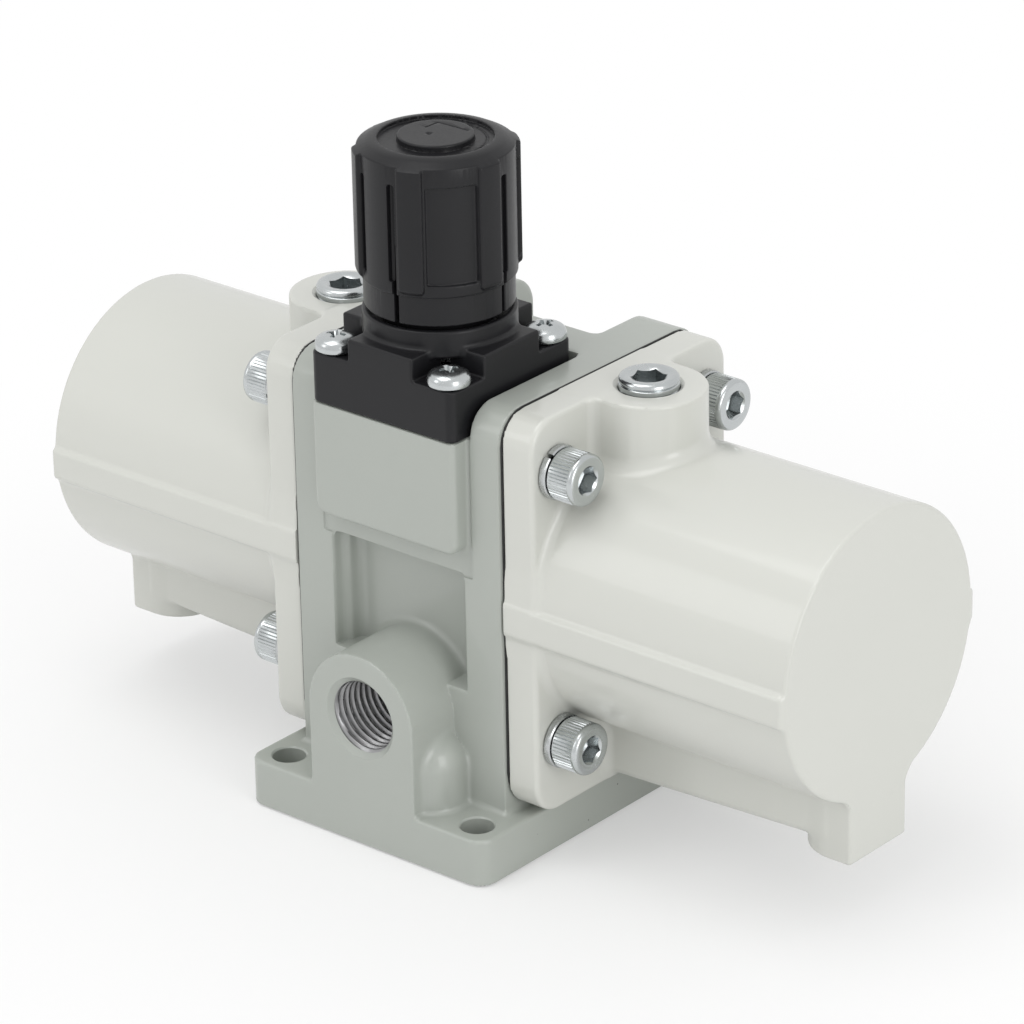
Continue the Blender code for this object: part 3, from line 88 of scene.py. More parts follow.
class Tree:
    def __init__(self, tree):
        self.nodes = tree.nodes
        self.links = tree.links

    def add(self, kind, settings=None, values=None, output=0):
        node = self.nodes.new(kind)
        for key, value in (settings or {}).items():
            if key == "stops":
                stops = node.color_ramp.elements
                while len(stops) < len(value):
                    stops.new(0.5)
                for stop, (place, colour) in zip(stops, value):
                    stop.position = place
                    stop.color = colour
            else:
                setattr(node, key, value)
        for key, value in (values or {}).items():
            socket = node.inputs[key]
            if isinstance(value, Value):
                self.links.new(value.socket, socket)
            else:
                socket.default_value = value
        return Value(self, node.outputs[output] if len(node.outputs) else None)

    def mix(self, factor, first, second):
        # colours only: sockets 6 and 7 are the colour pair of a Mix node
        return self.add("ShaderNodeMix", {"data_type": "RGBA"}, {0: factor, 6: first, 7: second}, output=2)


# finishes

def newMaterial(name):
    made = bpy.data.materials.new(name)
    made.use_nodes = True
    made.node_tree.nodes.clear()
    return made, Tree(made.node_tree)


def objectPlace(tree):
    return tree.add("ShaderNodeTexCoord", output=3)


def noise(tree, place, scale, detail=3.0, roughness=0.5, stretch=None):
    if stretch:
        place = tree.add("ShaderNodeMapping", {}, {"Vector": place, "Scale": stretch})
    return tree.add("ShaderNodeTexNoise", {}, {
        "Vector": place, "Scale": scale, "Detail": detail, "Roughness": roughness})


def shade(colour, factor):
    return tuple(min(1.0, part * factor) for part in colour) + (1.0,)


def finishOf(name, look):
    # one recipe for every solid finish: tone patches, fine grain, dust specks, uneven gloss
    made, tree = newMaterial(name)
    place = objectPlace(tree)
    patches = noise(tree, place, look["patchScale"], 3.0, 0.6, look.get("stretch"))
    grain = noise(tree, place, look["grainScale"], 2.0, 0.55, look.get("stretch"))
    colour, depth = look["colour"], look["patchDepth"]
    tone = tree.mix(patches, shade(colour, 1.0 - depth), shade(colour, 1.0 + depth))
    if look.get("specks"):
        cells = {"feature": "F1"}
        spots = {"Vector": place, "Scale": look["speckScale"]}
        near = tree.add("ShaderNodeTexVoronoi", cells, spots)
        chance = tree.add("ShaderNodeTexVoronoi", cells, spots, output=1)
        red = tree.add("ShaderNodeSeparateColor", {}, {0: chance})
        speck = (near < look["speckSize"]) * (red < look["specks"])
        tone = tree.mix(speck * 0.8, tone, shade(colour, 0.3))
    spread = look["roughnessSpread"]
    gloss = (patches - 0.5) * spread + (grain - 0.5) * spread + look["roughness"]
    bump = tree.add("ShaderNodeBump", {}, {
        "Strength": look["bump"], "Distance": look["bumpDistance"] * mm, "Height": grain})
    shader = tree.add("ShaderNodeBsdfPrincipled", {}, {
        "Base Color": tone, "Roughness": gloss, "Normal": bump,
        "Metallic": look.get("metallic", 0.0),
        "Coat Weight": look.get("coat", 0.0),
        "Coat Roughness": look.get("coatRoughness", 0.1),
        "IOR": look.get("ior", 1.5),
        "Specular IOR Level": look.get("specular", 0.5),
    })
    tree.add("ShaderNodeOutputMaterial", {}, {"Surface": shader})
    return made


finishLooks = {
    "cast_body": {
        "colour": (0.38, 0.403, 0.37), "patchScale": 45, "patchDepth": 0.025, "grainScale": 700,
        "roughness": 0.38, "roughnessSpread": 0.1, "bump": 0.35, "bumpDistance": 0.03,
        "coat": 0.5, "coatRoughness": 0.12, "specks": 0.04, "speckScale": 160, "speckSize": 0.03,
    },
    "cover_paint": {
        "colour": (0.595, 0.602, 0.56), "patchScale": 30, "patchDepth": 0.02, "grainScale": 500,
        "roughness": 0.36, "roughnessSpread": 0.08, "bump": 0.3, "bumpDistance": 0.03,
        "coat": 0.5, "coatRoughness": 0.1, "specks": 0.02, "speckScale": 140, "speckSize": 0.03,
    },
    "black_plastic": {
        "colour": (0.011, 0.011, 0.0125), "patchScale": 90, "patchDepth": 0.12, "grainScale": 1800,
        "roughness": 0.36, "roughnessSpread": 0.12, "bump": 0.3, "bumpDistance": 0.02, "specular": 0.28,
        "specks": 0.04, "speckScale": 260, "speckSize": 0.05,
    },
    "zinc_plate": {
        "colour": (0.56, 0.585, 0.59), "patchScale": 260, "patchDepth": 0.08, "grainScale": 1500,
        "roughness": 0.24, "roughnessSpread": 0.14, "bump": 0.2, "bumpDistance": 0.02, "metallic": 1.0,
    },
    "steel": {
        "colour": (0.56, 0.56, 0.57), "patchScale": 200, "patchDepth": 0.06, "grainScale": 1200,
        "roughness": 0.28, "roughnessSpread": 0.12, "bump": 0.2, "bumpDistance": 0.02, "metallic": 1.0,
        "stretch": (0.15, 1.0, 1.0),
    },
    "spring_steel": {
        "colour": (0.52, 0.535, 0.54), "patchScale": 300, "patchDepth": 0.1, "grainScale": 1400,
        "roughness": 0.26, "roughnessSpread": 0.14, "bump": 0.25, "bumpDistance": 0.02, "metallic": 1.0,
    },
    "brass": {
        "colour": (0.78, 0.57, 0.28), "patchScale": 160, "patchDepth": 0.08, "grainScale": 900,
        "roughness": 0.3, "roughnessSpread": 0.12, "bump": 0.2, "bumpDistance": 0.02, "metallic": 1.0,
    },
    "aluminium": {
        "colour": (0.77, 0.78, 0.79), "patchScale": 120, "patchDepth": 0.05, "grainScale": 800,
        "roughness": 0.36, "roughnessSpread": 0.12, "bump": 0.25, "bumpDistance": 0.03, "metallic": 1.0,
    },
    "rubber": {
        "colour": (0.018, 0.018, 0.018), "patchScale": 120, "patchDepth": 0.2, "grainScale": 1600,
        "roughness": 0.68, "roughnessSpread": 0.14, "bump": 0.4, "bumpDistance": 0.03,
    },
    "cut_metal": {
        "colour": (0.36, 0.36, 0.365), "patchScale": 400, "patchDepth": 0.25, "grainScale": 2200,
        "roughness": 0.34, "roughnessSpread": 0.22, "bump": 0.5, "bumpDistance": 0.03, "metallic": 1.0,
    },
}
finishes = {name: finishOf(name + "Finish", look) for name, look in finishLooks.items()}

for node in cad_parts.values():
    for slot in node.material_slots:
        plain = slot.material.name.split(".")[0] if slot.material else ""
        if plain in finishes:
            slot.material = finishes[plain]
print("finishes made:", ", ".join(finishes))


# mesh tools

def newObject(name, mesh):
    made = bpy.data.objects.new(name, mesh)
    bpy.context.scene.collection.objects.link(made)
    return made


def meshOf(name, points, faces):
    mesh = bpy.data.meshes.new(name)
    mesh.from_pydata([tuple(point) for point in points], [], [tuple(face) for face in faces])
    mesh.update()
    return mesh


def turned(name, profile, steps=48):
    # a surface of revolution round +Z from (radius, height) points, in the order that faces outwards
    rings = []
    points = []
    for radius, height in profile:
        if radius < 1e-6:
            rings.append([len(points)] * steps)
            points.append((0.0, 0.0, height))
        else:
            rings.append(range(len(points), len(points) + steps))
            points += [(radius * math.cos(a), radius * math.sin(a), height)
                       for a in (2 * math.pi * i / steps for i in range(steps))]
    faces = []
    for lower, upper in zip(rings, rings[1:]):
        for i in range(steps):
            face = [lower[i], lower[(i + 1) % steps], upper[(i + 1) % steps], upper[i]]
            face = list(dict.fromkeys(face))
            if len(face) > 2:
                faces.append(face)
    return newObject(name, meshOf(name, points, faces))


def applied(obj):
    # the object's mesh with its modifiers in it; the object itself goes
    graph = bpy.context.evaluated_depsgraph_get()
    graph.update()
    mesh = bpy.data.meshes.new_from_object(obj.evaluated_get(graph))
    bpy.data.objects.remove(obj)
    return mesh


def carve(obj, tools):
    # the tools' shapes go out of the object, and the tools go too
    name = obj.name
    for tool in tools:
        made = obj.modifiers.new(tool.name, "BOOLEAN")
        made.operation = "DIFFERENCE"
        made.solver = "EXACT"
        made.object = tool
    mesh = applied(obj)
    for tool in tools:
        bpy.data.objects.remove(tool)
    return newObject(name, mesh)


def moved(obj, matrix):
    obj.data.transform(matrix)
    return obj


def outwards(mesh):
    shape = bmesh.new()
    shape.from_mesh(mesh)
    bmesh.ops.remove_doubles(shape, verts=shape.verts, dist=1e-7)
    bmesh.ops.recalc_face_normals(shape, faces=shape.faces)
    shape.to_mesh(mesh)
    shape.free()


def piece(obj, finish, body, nodes=(), angle=36, even=False):
    # the last step of every piece: metres, outward faces, finish, and the frame's calls
    obj.data.transform(Matrix.Scale(mm, 4))
    outwards(obj.data)
    obj.data.shade_smooth()
    obj.data.set_sharp_from_angle(angle=math.radians(angle))
    if even:  # large faces lead the shading of the small ones beside them
        obj.modifiers.new("weigh", "WEIGHTED_NORMAL").keep_sharp = True
        name = obj.name
        obj = newObject(name, applied(obj))
    obj.data.materials.clear()
    obj.data.materials.append(finishes[finish])
    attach(obj, body)
    if nodes:
        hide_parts(*nodes)
    print("made", obj.name, "with", len(obj.data.polygons), "faces")
    return obj


# distance fields: each gives the distance to a shape in millimetres, negative inside

def slab(u, low, high):
    return np.abs(u - (low + high) / 2) - (high - low) / 2


def corner(a, b, radius):
    # the intersection of two fields with a round edge
    a, b = a + radius, b + radius
    return np.hypot(np.maximum(a, 0), np.maximum(b, 0)) + np.minimum(np.maximum(a, b), 0) - radius


def panel(u, v, uLow, uHigh, vLow, vHigh, radius=0.0):
    return corner(slab(u, uLow, uHigh), slab(v, vLow, vHigh), radius)


def join(a, b, fillet):
    # a union with a round fillet where the two meet
    near = np.hypot(np.maximum(fillet - a, 0), np.maximum(fillet - b, 0))
    return np.maximum(fillet, np.minimum(a, b)) - near


def cut(a, b, edge=0.0):
    if edge == 0.0:
        return np.maximum(a, -b)
    return -join(-a, b, edge)


def bore(field, bores, x, y, z):
    # straight round holes: (axis, centre, radius, low, high)
    for axis, (u, v), radius, low, high in bores:
        across = {"X": (y, z, x), "Y": (x, z, y), "Z": (x, y, z)}[axis]
        hole = np.maximum(np.hypot(across[0] - u, across[1] - v) - radius, slab(across[2], low, high))
        field = np.maximum(field, -hole)
    return field


def stations(low, high, fine, coarse, zones, growth=0.35):
    # grid lines that lie close together in the zones and further apart elsewhere
    lines = [low]
    while lines[-1] < high:
        place = lines[-1]
        away = min((max(a - place, place - b, 0.0) for a, b in zones), default=0.0)
        lines.append(place + min(coarse, fine + growth * away))
    return np.array(lines)


def skin(name, field, axes, steps=3):
    # a closed mesh of the field's zero surface: one point in each grid cell that the surface crosses
    grid = [axes[0][:, None, None], axes[1][None, :, None], axes[2][None, None, :]]
    values = field(*grid) + np.zeros([len(line) for line in axes])
    inside = values < 0
    cells = [len(line) - 1 for line in axes]
    total = int(np.prod(cells))
    count = np.zeros(total)
    sums = [np.zeros(total) for _ in range(3)]
    quads = []
    for axis in range(3):
        low = [slice(None)] * 3
        high = [slice(None)] * 3
        low[axis] = slice(0, -1)
        high[axis] = slice(1, None)
        low, high = tuple(low), tuple(high)
        crossing = inside[low] != inside[high]
        where = np.argwhere(crossing)
        a, b = values[low][crossing], values[high][crossing]
        point = [axes[k][where[:, k]] for k in range(3)]
        span = axes[axis][where[:, axis] + 1] - axes[axis][where[:, axis]]
        point[axis] = point[axis] + span * a / (a - b)
        u, v = (axis + 1) % 3, (axis + 2) % 3
        ring = []
        for du, dv in ((-1, -1), (0, -1), (0, 0), (-1, 0)):
            cell = where.copy()
            cell[:, u] += du
            cell[:, v] += dv
            ring.append(np.ravel_multi_index(tuple(cell.T), cells))
        for cell in ring:
            count += np.bincount(cell, minlength=total)
            for k in range(3):
                sums[k] += np.bincount(cell, point[k], total)
        ring = np.stack(ring, 1)
        quads.append(np.where(inside[low][crossing][:, None], ring, ring[:, ::-1]))
    used = np.flatnonzero(count)
    points = np.stack([sums[k][used] / count[used] for k in range(3)], 1)
    number = np.zeros(total, dtype=np.int64)
    number[used] = np.arange(len(used))
    quads = number[np.concatenate(quads)]
    reach = min(float(np.diff(line).min()) for line in axes) * 0.7
    start = points.copy()
    nudge = 0.01
    for _ in range(steps):  # onto the true surface
        value = field(*points.T)
        slope = np.stack([
            (field(*(points + shift).T) - field(*(points - shift).T)) / (2 * nudge)
            for shift in np.eye(3) * nudge
        ], 1)
        points = points - slope * (value / np.maximum((slope ** 2).sum(1), 0.3))[:, None]
        points = start + np.clip(points - start, -reach, reach)
    return newObject(name, meshOf(name, points, quads))


def lighter(obj, angle=0.25):
    # flat and straight stretches lose the points that they don't need
    shape = bmesh.new()
    shape.from_mesh(obj.data)
    bmesh.ops.dissolve_limit(shape, angle_limit=math.radians(angle), verts=shape.verts, edges=shape.edges,
                             use_dissolve_boundaries=False)
    bmesh.ops.triangulate(shape, faces=[face for face in shape.faces if len(face.verts) > 4])
    shape.to_mesh(obj.data)
    shape.free()
    return obj


# centre body

bodyShape = {
    "halfX": 21.35, "halfY": 24.66, "top": 76.7, "shoulder": 5.3,
    "footHalfX": 25.0, "footHalfY": 34.75, "footHeight": 8.0, "footCorner": 3.0, "footEdge": 0.5,
    "rimX": 15.5, "pocketY": 2.9, "padTop": 71.1, "ledgeY": -24.2,
    "recessX": 13.7, "recessY": -21.85, "recessTop": 47.5, "panelX": 12.6, "panelY": -19.5,
    "rearX": 12.4, "rearStepZ": 45.0, "rearHighY": 10.5,
    "padHalf": 14.65, "padBottom": 51.9, "padFront": -27.55,
    "bossR": 10.9, "portZ": 22.5, "inletZ": 56.0, "inletY": 30.0,
    "bulgeR": 5.9, "bulgeX": 8.3, "bulgeY": 27.2, "bulgeTop": 20.4, "bulgeCrown": 5.7, "webTop": 27.6,
    "mountX": 20.0, "mountY": 30.0, "mountR": 2.75,
    "threadR": 6.55, "portDepth": 14.0,
}
governorY = -12.9
axisZ = 43.44
bonnetScrewAt = 11.6  # from the governor's axis, both ways
coverScrewY = 18.4
coverScrewHeights = (21.0, 67.3)
spoolZ = 29.0
gaugePassageY, gaugePassageZ = 3.6, 68.5  # from the body to the room under each gauge plug
lowPassageZ = 15.6
checkY, checkZ = 12.3, 28.5  # the four check valves' pockets, on both sides of the spool


def bodyBores():
    holes = [
        ("Y", (0, bodyShape["portZ"]), 3.2, -22.0, -3.0), ("Y", (0, bodyShape["portZ"]), 4.6, 9.0, 22.0),
        ("Y", (0, 53.6), 2.6, -8.9, 17.5),
        ("Z", (0, governorY), 5.0, 47.6, 57.5), ("Z", (0, governorY), 6.5, 57.0, 66.5),
        ("Z", (0, governorY), 11.0, 66.0, 72.0), ("Z", (0, governorY), 13.0, 70.2, 73.0),
        ("X", (0, axisZ), 4.1, -23, 23), ("X", (0, spoolZ), 6.3, -23, 23),
        ("X", (gaugePassageY, gaugePassageZ), 1.25, -23, 23),
        ("Z", (0, gaugePassageY), 1.25, 53.0, gaugePassageZ),
        ("Z", (0, -checkY), 1.75, checkZ, 48.5),
    ]
    for x in (-1, 1):
        for y in (-1, 1):
            holes.append(("Z", (x * bonnetScrewAt, governorY + y * bonnetScrewAt), 2.15, 66.0, 73.0))
        holes += [
            ("X", (0, axisZ), 7.0, *sorted((x * 17.05, x * 23.0))),
            ("X", (0, lowPassageZ), 2.0, *sorted((x * 9.0, x * 23.0))),
            ("Z", (x * 11.0, 0), 1.8, lowPassageZ, 23.8),
        ]
        for y in (-1, 1):
            holes.append(("X", (y * checkY, checkZ), 3.5, *sorted((x * 13.35, x * 23.0))))
            for z in coverScrewHeights:
                holes.append(("X", (y * coverScrewY, z), 2.65, *sorted((x * 13.95, x * 23.0))))
    for y in (-1, 1):
        holes.append(("X", (y * checkY, checkZ), 1.75, -14.35, 14.35))
    return holes


def bodyField(x, y, z):
    s = bodyShape
    field = panel(y, z, -s["halfY"], s["halfY"], -40, s["top"], s["shoulder"])
    field = corner(field, slab(x, -s["halfX"], s["halfX"]), 0.35)
    pocket = corner(panel(x, y, -s["rimX"], s["rimX"], -60, s["pocketY"], 1.8), s["padTop"] - z, 0.2)
    field = cut(field, pocket, 0.45)
    ledge = corner(panel(x, y, -s["rimX"], s["rimX"], -60, s["ledgeY"], 0.3), s["recessTop"] - z, 0.2)
    field = cut(field, ledge, 0.3)
    for halfX, face in ((s["recessX"], s["recessY"]), (s["panelX"], s["panelY"])):
        recess = corner(panel(x, y, -halfX, halfX, -60, face, 1.5), z - s["recessTop"], 0.8)
        field = cut(field, recess, 0.5)
    low = corner(panel(x, y, -s["rearX"], s["rearX"], -s["panelY"], 60, 1.5), z - s["rearStepZ"] - 1, 0.8)
    high = corner(panel(x, y, -s["rearX"], s["rearX"], s["rearHighY"], 60, 1.5), s["rearStepZ"] - z, 0.8)
    field = cut(cut(field, low, 0.5), high, 0.5)
    pad = panel(x, z, -s["padHalf"], s["padHalf"], s["padBottom"], 100, 2.2)
    pad = corner(pad, slab(y, s["padFront"], -18.0), 0.9)
    field = join(field, np.maximum(pad, z - s["padTop"]), 0.8)
    bosses = (
        (s["portZ"], -s["footHalfY"], -17.0, -60.0), (s["portZ"], 17.0, s["footHalfY"], -60.0),
        (s["inletZ"], 9.0, s["inletY"], s["rearStepZ"] - 1),
    )
    for centre, near, far, floor in bosses:
        outline = panel(x, z, -s["bossR"], s["bossR"], centre - 60, centre + s["bossR"], s["bossR"])
        boss = np.maximum(corner(outline, slab(y, near, far), 0.4), floor - z)
        field = join(field, boss, 1.1)
    for side in (-1, 1):
        round_ = np.hypot(np.abs(x) - s["bulgeX"], y - side * s["bulgeY"]) - s["bulgeR"]
        field = join(field, corner(round_, slab(z, -20, s["bulgeTop"]), s["bulgeCrown"]), 0.9)
    web = corner(panel(np.abs(x), z, 6, s["rimX"], -20, s["webTop"], 0.8), slab(y, -s["halfY"], -18), 0.3)
    field = np.minimum(field, web)
    foot = panel(x, y, -s["footHalfX"], s["footHalfX"], -s["footHalfY"], s["footHalfY"], s["footCorner"])
    foot = corner(foot, z - s["footHeight"], s["footEdge"])
    field = join(field, foot, 0.9)
    field = np.maximum(field, np.maximum(-z, np.abs(y) - s["footHalfY"]))
    return bore(field, bodyBores(), x, y, z)


ports = (
    # thread name, height of the axis, distance of the face, side of the body
    ("exhaustThread", bodyShape["portZ"], bodyShape["footHalfY"], -1),
    ("outletThread", bodyShape["portZ"], bodyShape["footHalfY"], 1),
    ("inletThread", bodyShape["inletZ"], bodyShape["inletY"], 1),
)


def portTools():
    # round shapes to cut out: the mouth, thread room and end of each port, and the mounting holes
    s = bodyShape
    tools = []
    for _, centre, face, side in ports:
        profile = [(0, -s["portDepth"]), (4.0, -s["portDepth"]), (5.6, -12.4), (s["threadR"] + 0.1, -12.0),
                   (s["threadR"] + 0.1, -0.92), (6.1, -0.85), (6.9, -0.1), (7.0, 0), (7.0, 2), (0, 2)]
        tool = turned("portTool", profile, 72)
        turn = Matrix.Rotation(math.radians(90 if side < 0 else -90), 4, "X")
        tools.append(moved(tool, Matrix.Translation((0, side * face, centre)) @ turn))
    for x in (-1, 1):
        for y in (-1, 1):
            radius, lead = s["mountR"], s["mountR"] + 0.3
            tool = turned("mountTool", [(0, -1), (radius, -1), (radius, s["footHeight"] - 0.25),
                                        (lead, s["footHeight"] + 0.05), (lead, 10), (0, 10)], 48)
            tools.append(moved(tool, Matrix.Translation((x * s["mountX"], y * s["mountY"], 0))))
    return tools


detail = 1.0
bodyLines = [
    stations(-25.6, 25.6, 0.42 * detail, 0.6 * detail, [(-25.6, -20), (-16, 16), (20, 25.6)]),
    stations(-35.4, 35.4, 0.42 * detail, 0.7 * detail, [(-35.4, -18), (17, 35.4)]),
    stations(-0.6, 77.3, 0.42 * detail, 0.8 * detail, [(-1, 35), (44, 54), (69, 77.3)]),
]
body = lighter(skin("castBody", bodyField, bodyLines))
body = carve(body, portTools())
piece(body, "cast_body", "housing", ["body"], even=True)


# cylinder covers

coverShape = {
    "faceX": 21.75, "flangeX": 27.65, "endX": 76.4, "halfY": 24.13, "bottom": 8.9, "top": 76.7, "corner": 5.3,
    "flangeEdge": 0.75, "barrelR": 24.0, "barrelEdge": 0.55,
    "bandHalfY": 24.9, "bandBottom": 40.0, "bandTop": 45.2,
    "keelHalfY": 7.1, "keelBottom": 10.1, "keelDraft": 2.1, "keelCorner": 1.8,
    "lugX": 71.8, "lugR": 7.3, "lugBottom": 9.4, "gaugeX": 31.45, "gaugeR": 9.3, "gaugeHoleR": 4.95,
    "boreR": 20.0, "boreEnd": 72.4,
}


def coverField(x, y, z):
    s = coverShape
    flange = corner(panel(y, z, -s["halfY"], s["halfY"], s["bottom"], s["top"], s["corner"]),
                    slab(x, s["faceX"] - 6, s["flangeX"]), s["flangeEdge"])
    radius = np.hypot(y, z - axisZ)
    barrel = corner(radius - s["barrelR"], slab(x, 10, s["endX"]), s["barrelEdge"])
    under = ((np.abs(y) - s["bandHalfY"]) - 2 * (z - s["bandBottom"])) / math.sqrt(5)
    band = corner(np.abs(y) - s["bandHalfY"], np.maximum(z - s["bandTop"], under), 0.5)
    band = corner(band, slab(x, s["faceX"] - 6, s["endX"] - 0.3), 0.5)
    along = np.clip((x - s["faceX"]) / (s["lugX"] - s["faceX"]), 0, 1)
    half, drop = s["keelHalfY"], s["keelDraft"] * along
    keel = panel(y, z - drop, -half, half, s["keelBottom"], 30, s["keelCorner"])
    keel = corner(keel, slab(x, 10, s["lugX"]), 0.5)
    lug = panel(x, y, s["lugX"] - s["lugR"], 200, -s["lugR"], s["lugR"], s["lugR"])
    lug = corner(corner(lug, x - s["endX"] + 0.05, 0.6), slab(z, s["lugBottom"], 30), 0.7)
    gauge = panel(x, y, -20, s["gaugeX"] + s["gaugeR"], -s["gaugeR"], s["gaugeR"], s["gaugeR"])
    gauge = corner(gauge, slab(z, 50, s["top"]), 0.6)
    field = join(flange, barrel, 1.6)
    field = join(field, band, 0.8)
    field = join(field, join(keel, lug, 0.8), 2.0)
    field = join(field, gauge, 1.9)
    field = np.maximum(corner(field, z - s["top"], 0.4), s["faceX"] - x)
    field = np.maximum(field, np.maximum(x - s["endX"], np.abs(y) - s["bandHalfY"]))
    holes = [
        ("X", (0, axisZ), s["boreR"], s["faceX"] - 2, s["boreEnd"]),
        ("X", (gaugePassageY, gaugePassageZ), 1.25, s["faceX"] - 2, s["gaugeX"]),
        ("X", (0, lowPassageZ), 2.0, s["faceX"] - 2, s["boreEnd"] - 2),
        ("Z", (s["boreEnd"] - 2.5, 0), 2.0, lowPassageZ, 24.4),
    ]
    for side in (-coverScrewY, coverScrewY):
        for height in coverScrewHeights:
            holes.append(("X", (side, height), 2.75, s["faceX"] - 2, s["flangeX"] + 2))
    return bore(field, holes, x, y, z)


coverLines = [
    stations(21.2, 77.0, 0.36 * detail, 1.6 * detail, [(21.2, 29.5), (38, 42), (66, 77)]),
    stations(-25.5, 25.5, 0.45 * detail, 0.55 * detail, [(-25.5, -20), (-10, 10), (20, 25.5)]),
    stations(8.2, 77.3, 0.34 * detail, 0.6 * detail, [(8.2, 24), (38, 47), (64, 77.3)]),
]
coverSkin = lighter(skin("coverSkin", coverField, coverLines))
s = coverShape
lead = s["gaugeHoleR"] + 0.75
gaugeTool = turned("gaugeTool", [(0, 67.0), (s["gaugeHoleR"], 67.0), (s["gaugeHoleR"], s["top"] - 0.6),
                                 (lead, s["top"]), (lead, s["top"] + 2), (0, s["top"] + 2)], 64)
coverSkin = carve(coverSkin, [moved(gaugeTool, Matrix.Translation((s["gaugeX"], 0, 0)))])
for name, side in (("Left", -1), ("Right", 1)):
    cover = newObject("cover" + name, coverSkin.data.copy())
    if side < 0:
        cover.data.transform(Matrix.Scale(-1, 4, (1, 0, 0)))
    piece(cover, "cover_paint", "housing", ["cover_" + name.lower()], even=True)
bpy.data.objects.remove(coverSkin)


# bonnet over the governor

bonnetShape = {
    "half": 14.65, "corner": 1.5, "bottom": 71.2, "top": 83.5, "edge": 0.4,
    "notchWall": 6.65, "notchSeat": 79.7, "notchCorner": 1.0,
    "collarR": 12.25, "collarTop": 86.6, "grooveR": 11.15, "grooveFloor": 85.4,
    "neckR": 9.5, "neckTop": 103.5, "neckBoreR": 7.6, "boreR": 10.0,
    "keyReach": 8.7, "keyHalf": 1.5,
}


def bonnetField(x, y, z):
    s = bonnetShape
    y = y - governorY
    r = np.hypot(x, y)
    field = panel(x, y, -s["half"], s["half"], -s["half"], s["half"], s["corner"])
    field = corner(field, slab(z, s["bottom"], s["top"]), s["edge"])
    notch = corner(s["notchWall"] - np.abs(x), s["notchWall"] - np.abs(y), s["notchCorner"])
    field = cut(field, corner(notch, s["notchSeat"] - z, 0.5), 0.35)
    field = join(field, corner(r - s["collarR"], slab(z, s["top"] - 1.4, s["collarTop"]), 0.4), 0.7)
    field = cut(field, corner(slab(r, s["neckR"], s["grooveR"]), s["grooveFloor"] - z, 0.15), 0.2)
    field = np.minimum(field, corner(r - s["neckR"], slab(z, s["top"] - 1, s["neckTop"]), 0.5))
    holes = [
        ("Z", (0, 0), s["boreR"], 60, s["top"] - 1.5), ("Z", (0, 0), s["neckBoreR"], 80, s["neckTop"] - 2.5),
        ("Z", (0, 0), 3.2, 95, 110),
    ]
    holes += [("Z", (u * bonnetScrewAt, v * bonnetScrewAt), 2.25, 60, 80) for u in (-1, 1) for v in (-1, 1)]
    key = panel(x, y, -s["keyReach"], s["keyReach"], -s["keyHalf"], s["keyHalf"])
    key = np.maximum(key, slab(z, s["top"] - 3, s["neckTop"] - 3.0))
    return np.maximum(bore(field, holes, x, y, z), -key)


bonnetLines = [
    stations(-15.1, 15.1, 0.27 * detail, 0.4 * detail, [(-15.1, -5.5), (5.5, 15.1)]),
    stations(governorY - 15.1, governorY + 15.1, 0.27 * detail, 0.4 * detail,
             [(governorY - 15.1, governorY - 5.5), (governorY + 5.5, governorY + 15.1)]),
    stations(70.7, 104.0, 0.25 * detail, 1.5 * detail, [(70.7, 72.0), (79.0, 87.2), (103, 104)]),
]
bonnet = lighter(skin("bonnetCap", bonnetField, bonnetLines))
piece(bonnet, "black_plastic", "housing", ["bonnet"], even=True)


# knob

knobShape = {
    "bottom": 87.4, "skirtR": 11.95, "skirtTop": 92.2, "coreR": 12.4, "top": 114.5,
    "crownR": 10.2, "crownSlope": 0.51, "crownEdge": 0.14,
    "lobeR": 13.1, "lobePhase": -9.0, "lobeHalf": 2.1, "lobeBottom": 92.6,
    "panelAt": -38.5, "panelHalf": 19.3, "panelR": 11.85, "panelBottom": 94.2, "panelTop": 110.3,
    "tongueGrooves": ((46.0, 2.9), (78.5, 2.4)), "grooveR": 11.5,
    "slitAt": -83.0, "slitHalf": 0.36, "slitTop": 100.3,
    "ringR": 9.1, "floor": 113.85, "discR": 6.05, "discTop": 114.9, "boreR": 10.2, "boreTop": 105.0,
    "hexagonHalf": 3.95, "hexagonTop": 111.3,
    # marks on the top; the dimple and arrow are placed right and away as the camera sees them
    "dimpleAt": (-1.0, -0.2), "dimpleR": 0.62,
    "arrowTip": (0.43, 4.6), "arrowEnds": ((-1.58, 2.6), (5.0, 0.75)), "arrowHalf": 0.13,
    "arcR": 8.0, "arcAt": 60.0, "arcHalf": 75,
}


def fromView(u, v):
    # a place on the knob's top, right and away as the camera sees it
    a = math.radians(viewAzimuth)
    return u * math.cos(a) - v * math.sin(a), u * math.sin(a) + v * math.cos(a)


def nearLine(x, y, start, end):
    dx, dy = end[0] - start[0], end[1] - start[1]
    along = np.clip(((x - start[0]) * dx + (y - start[1]) * dy) / (dx * dx + dy * dy), 0, 1)
    return np.hypot(x - start[0] - along * dx, y - start[1] - along * dy)


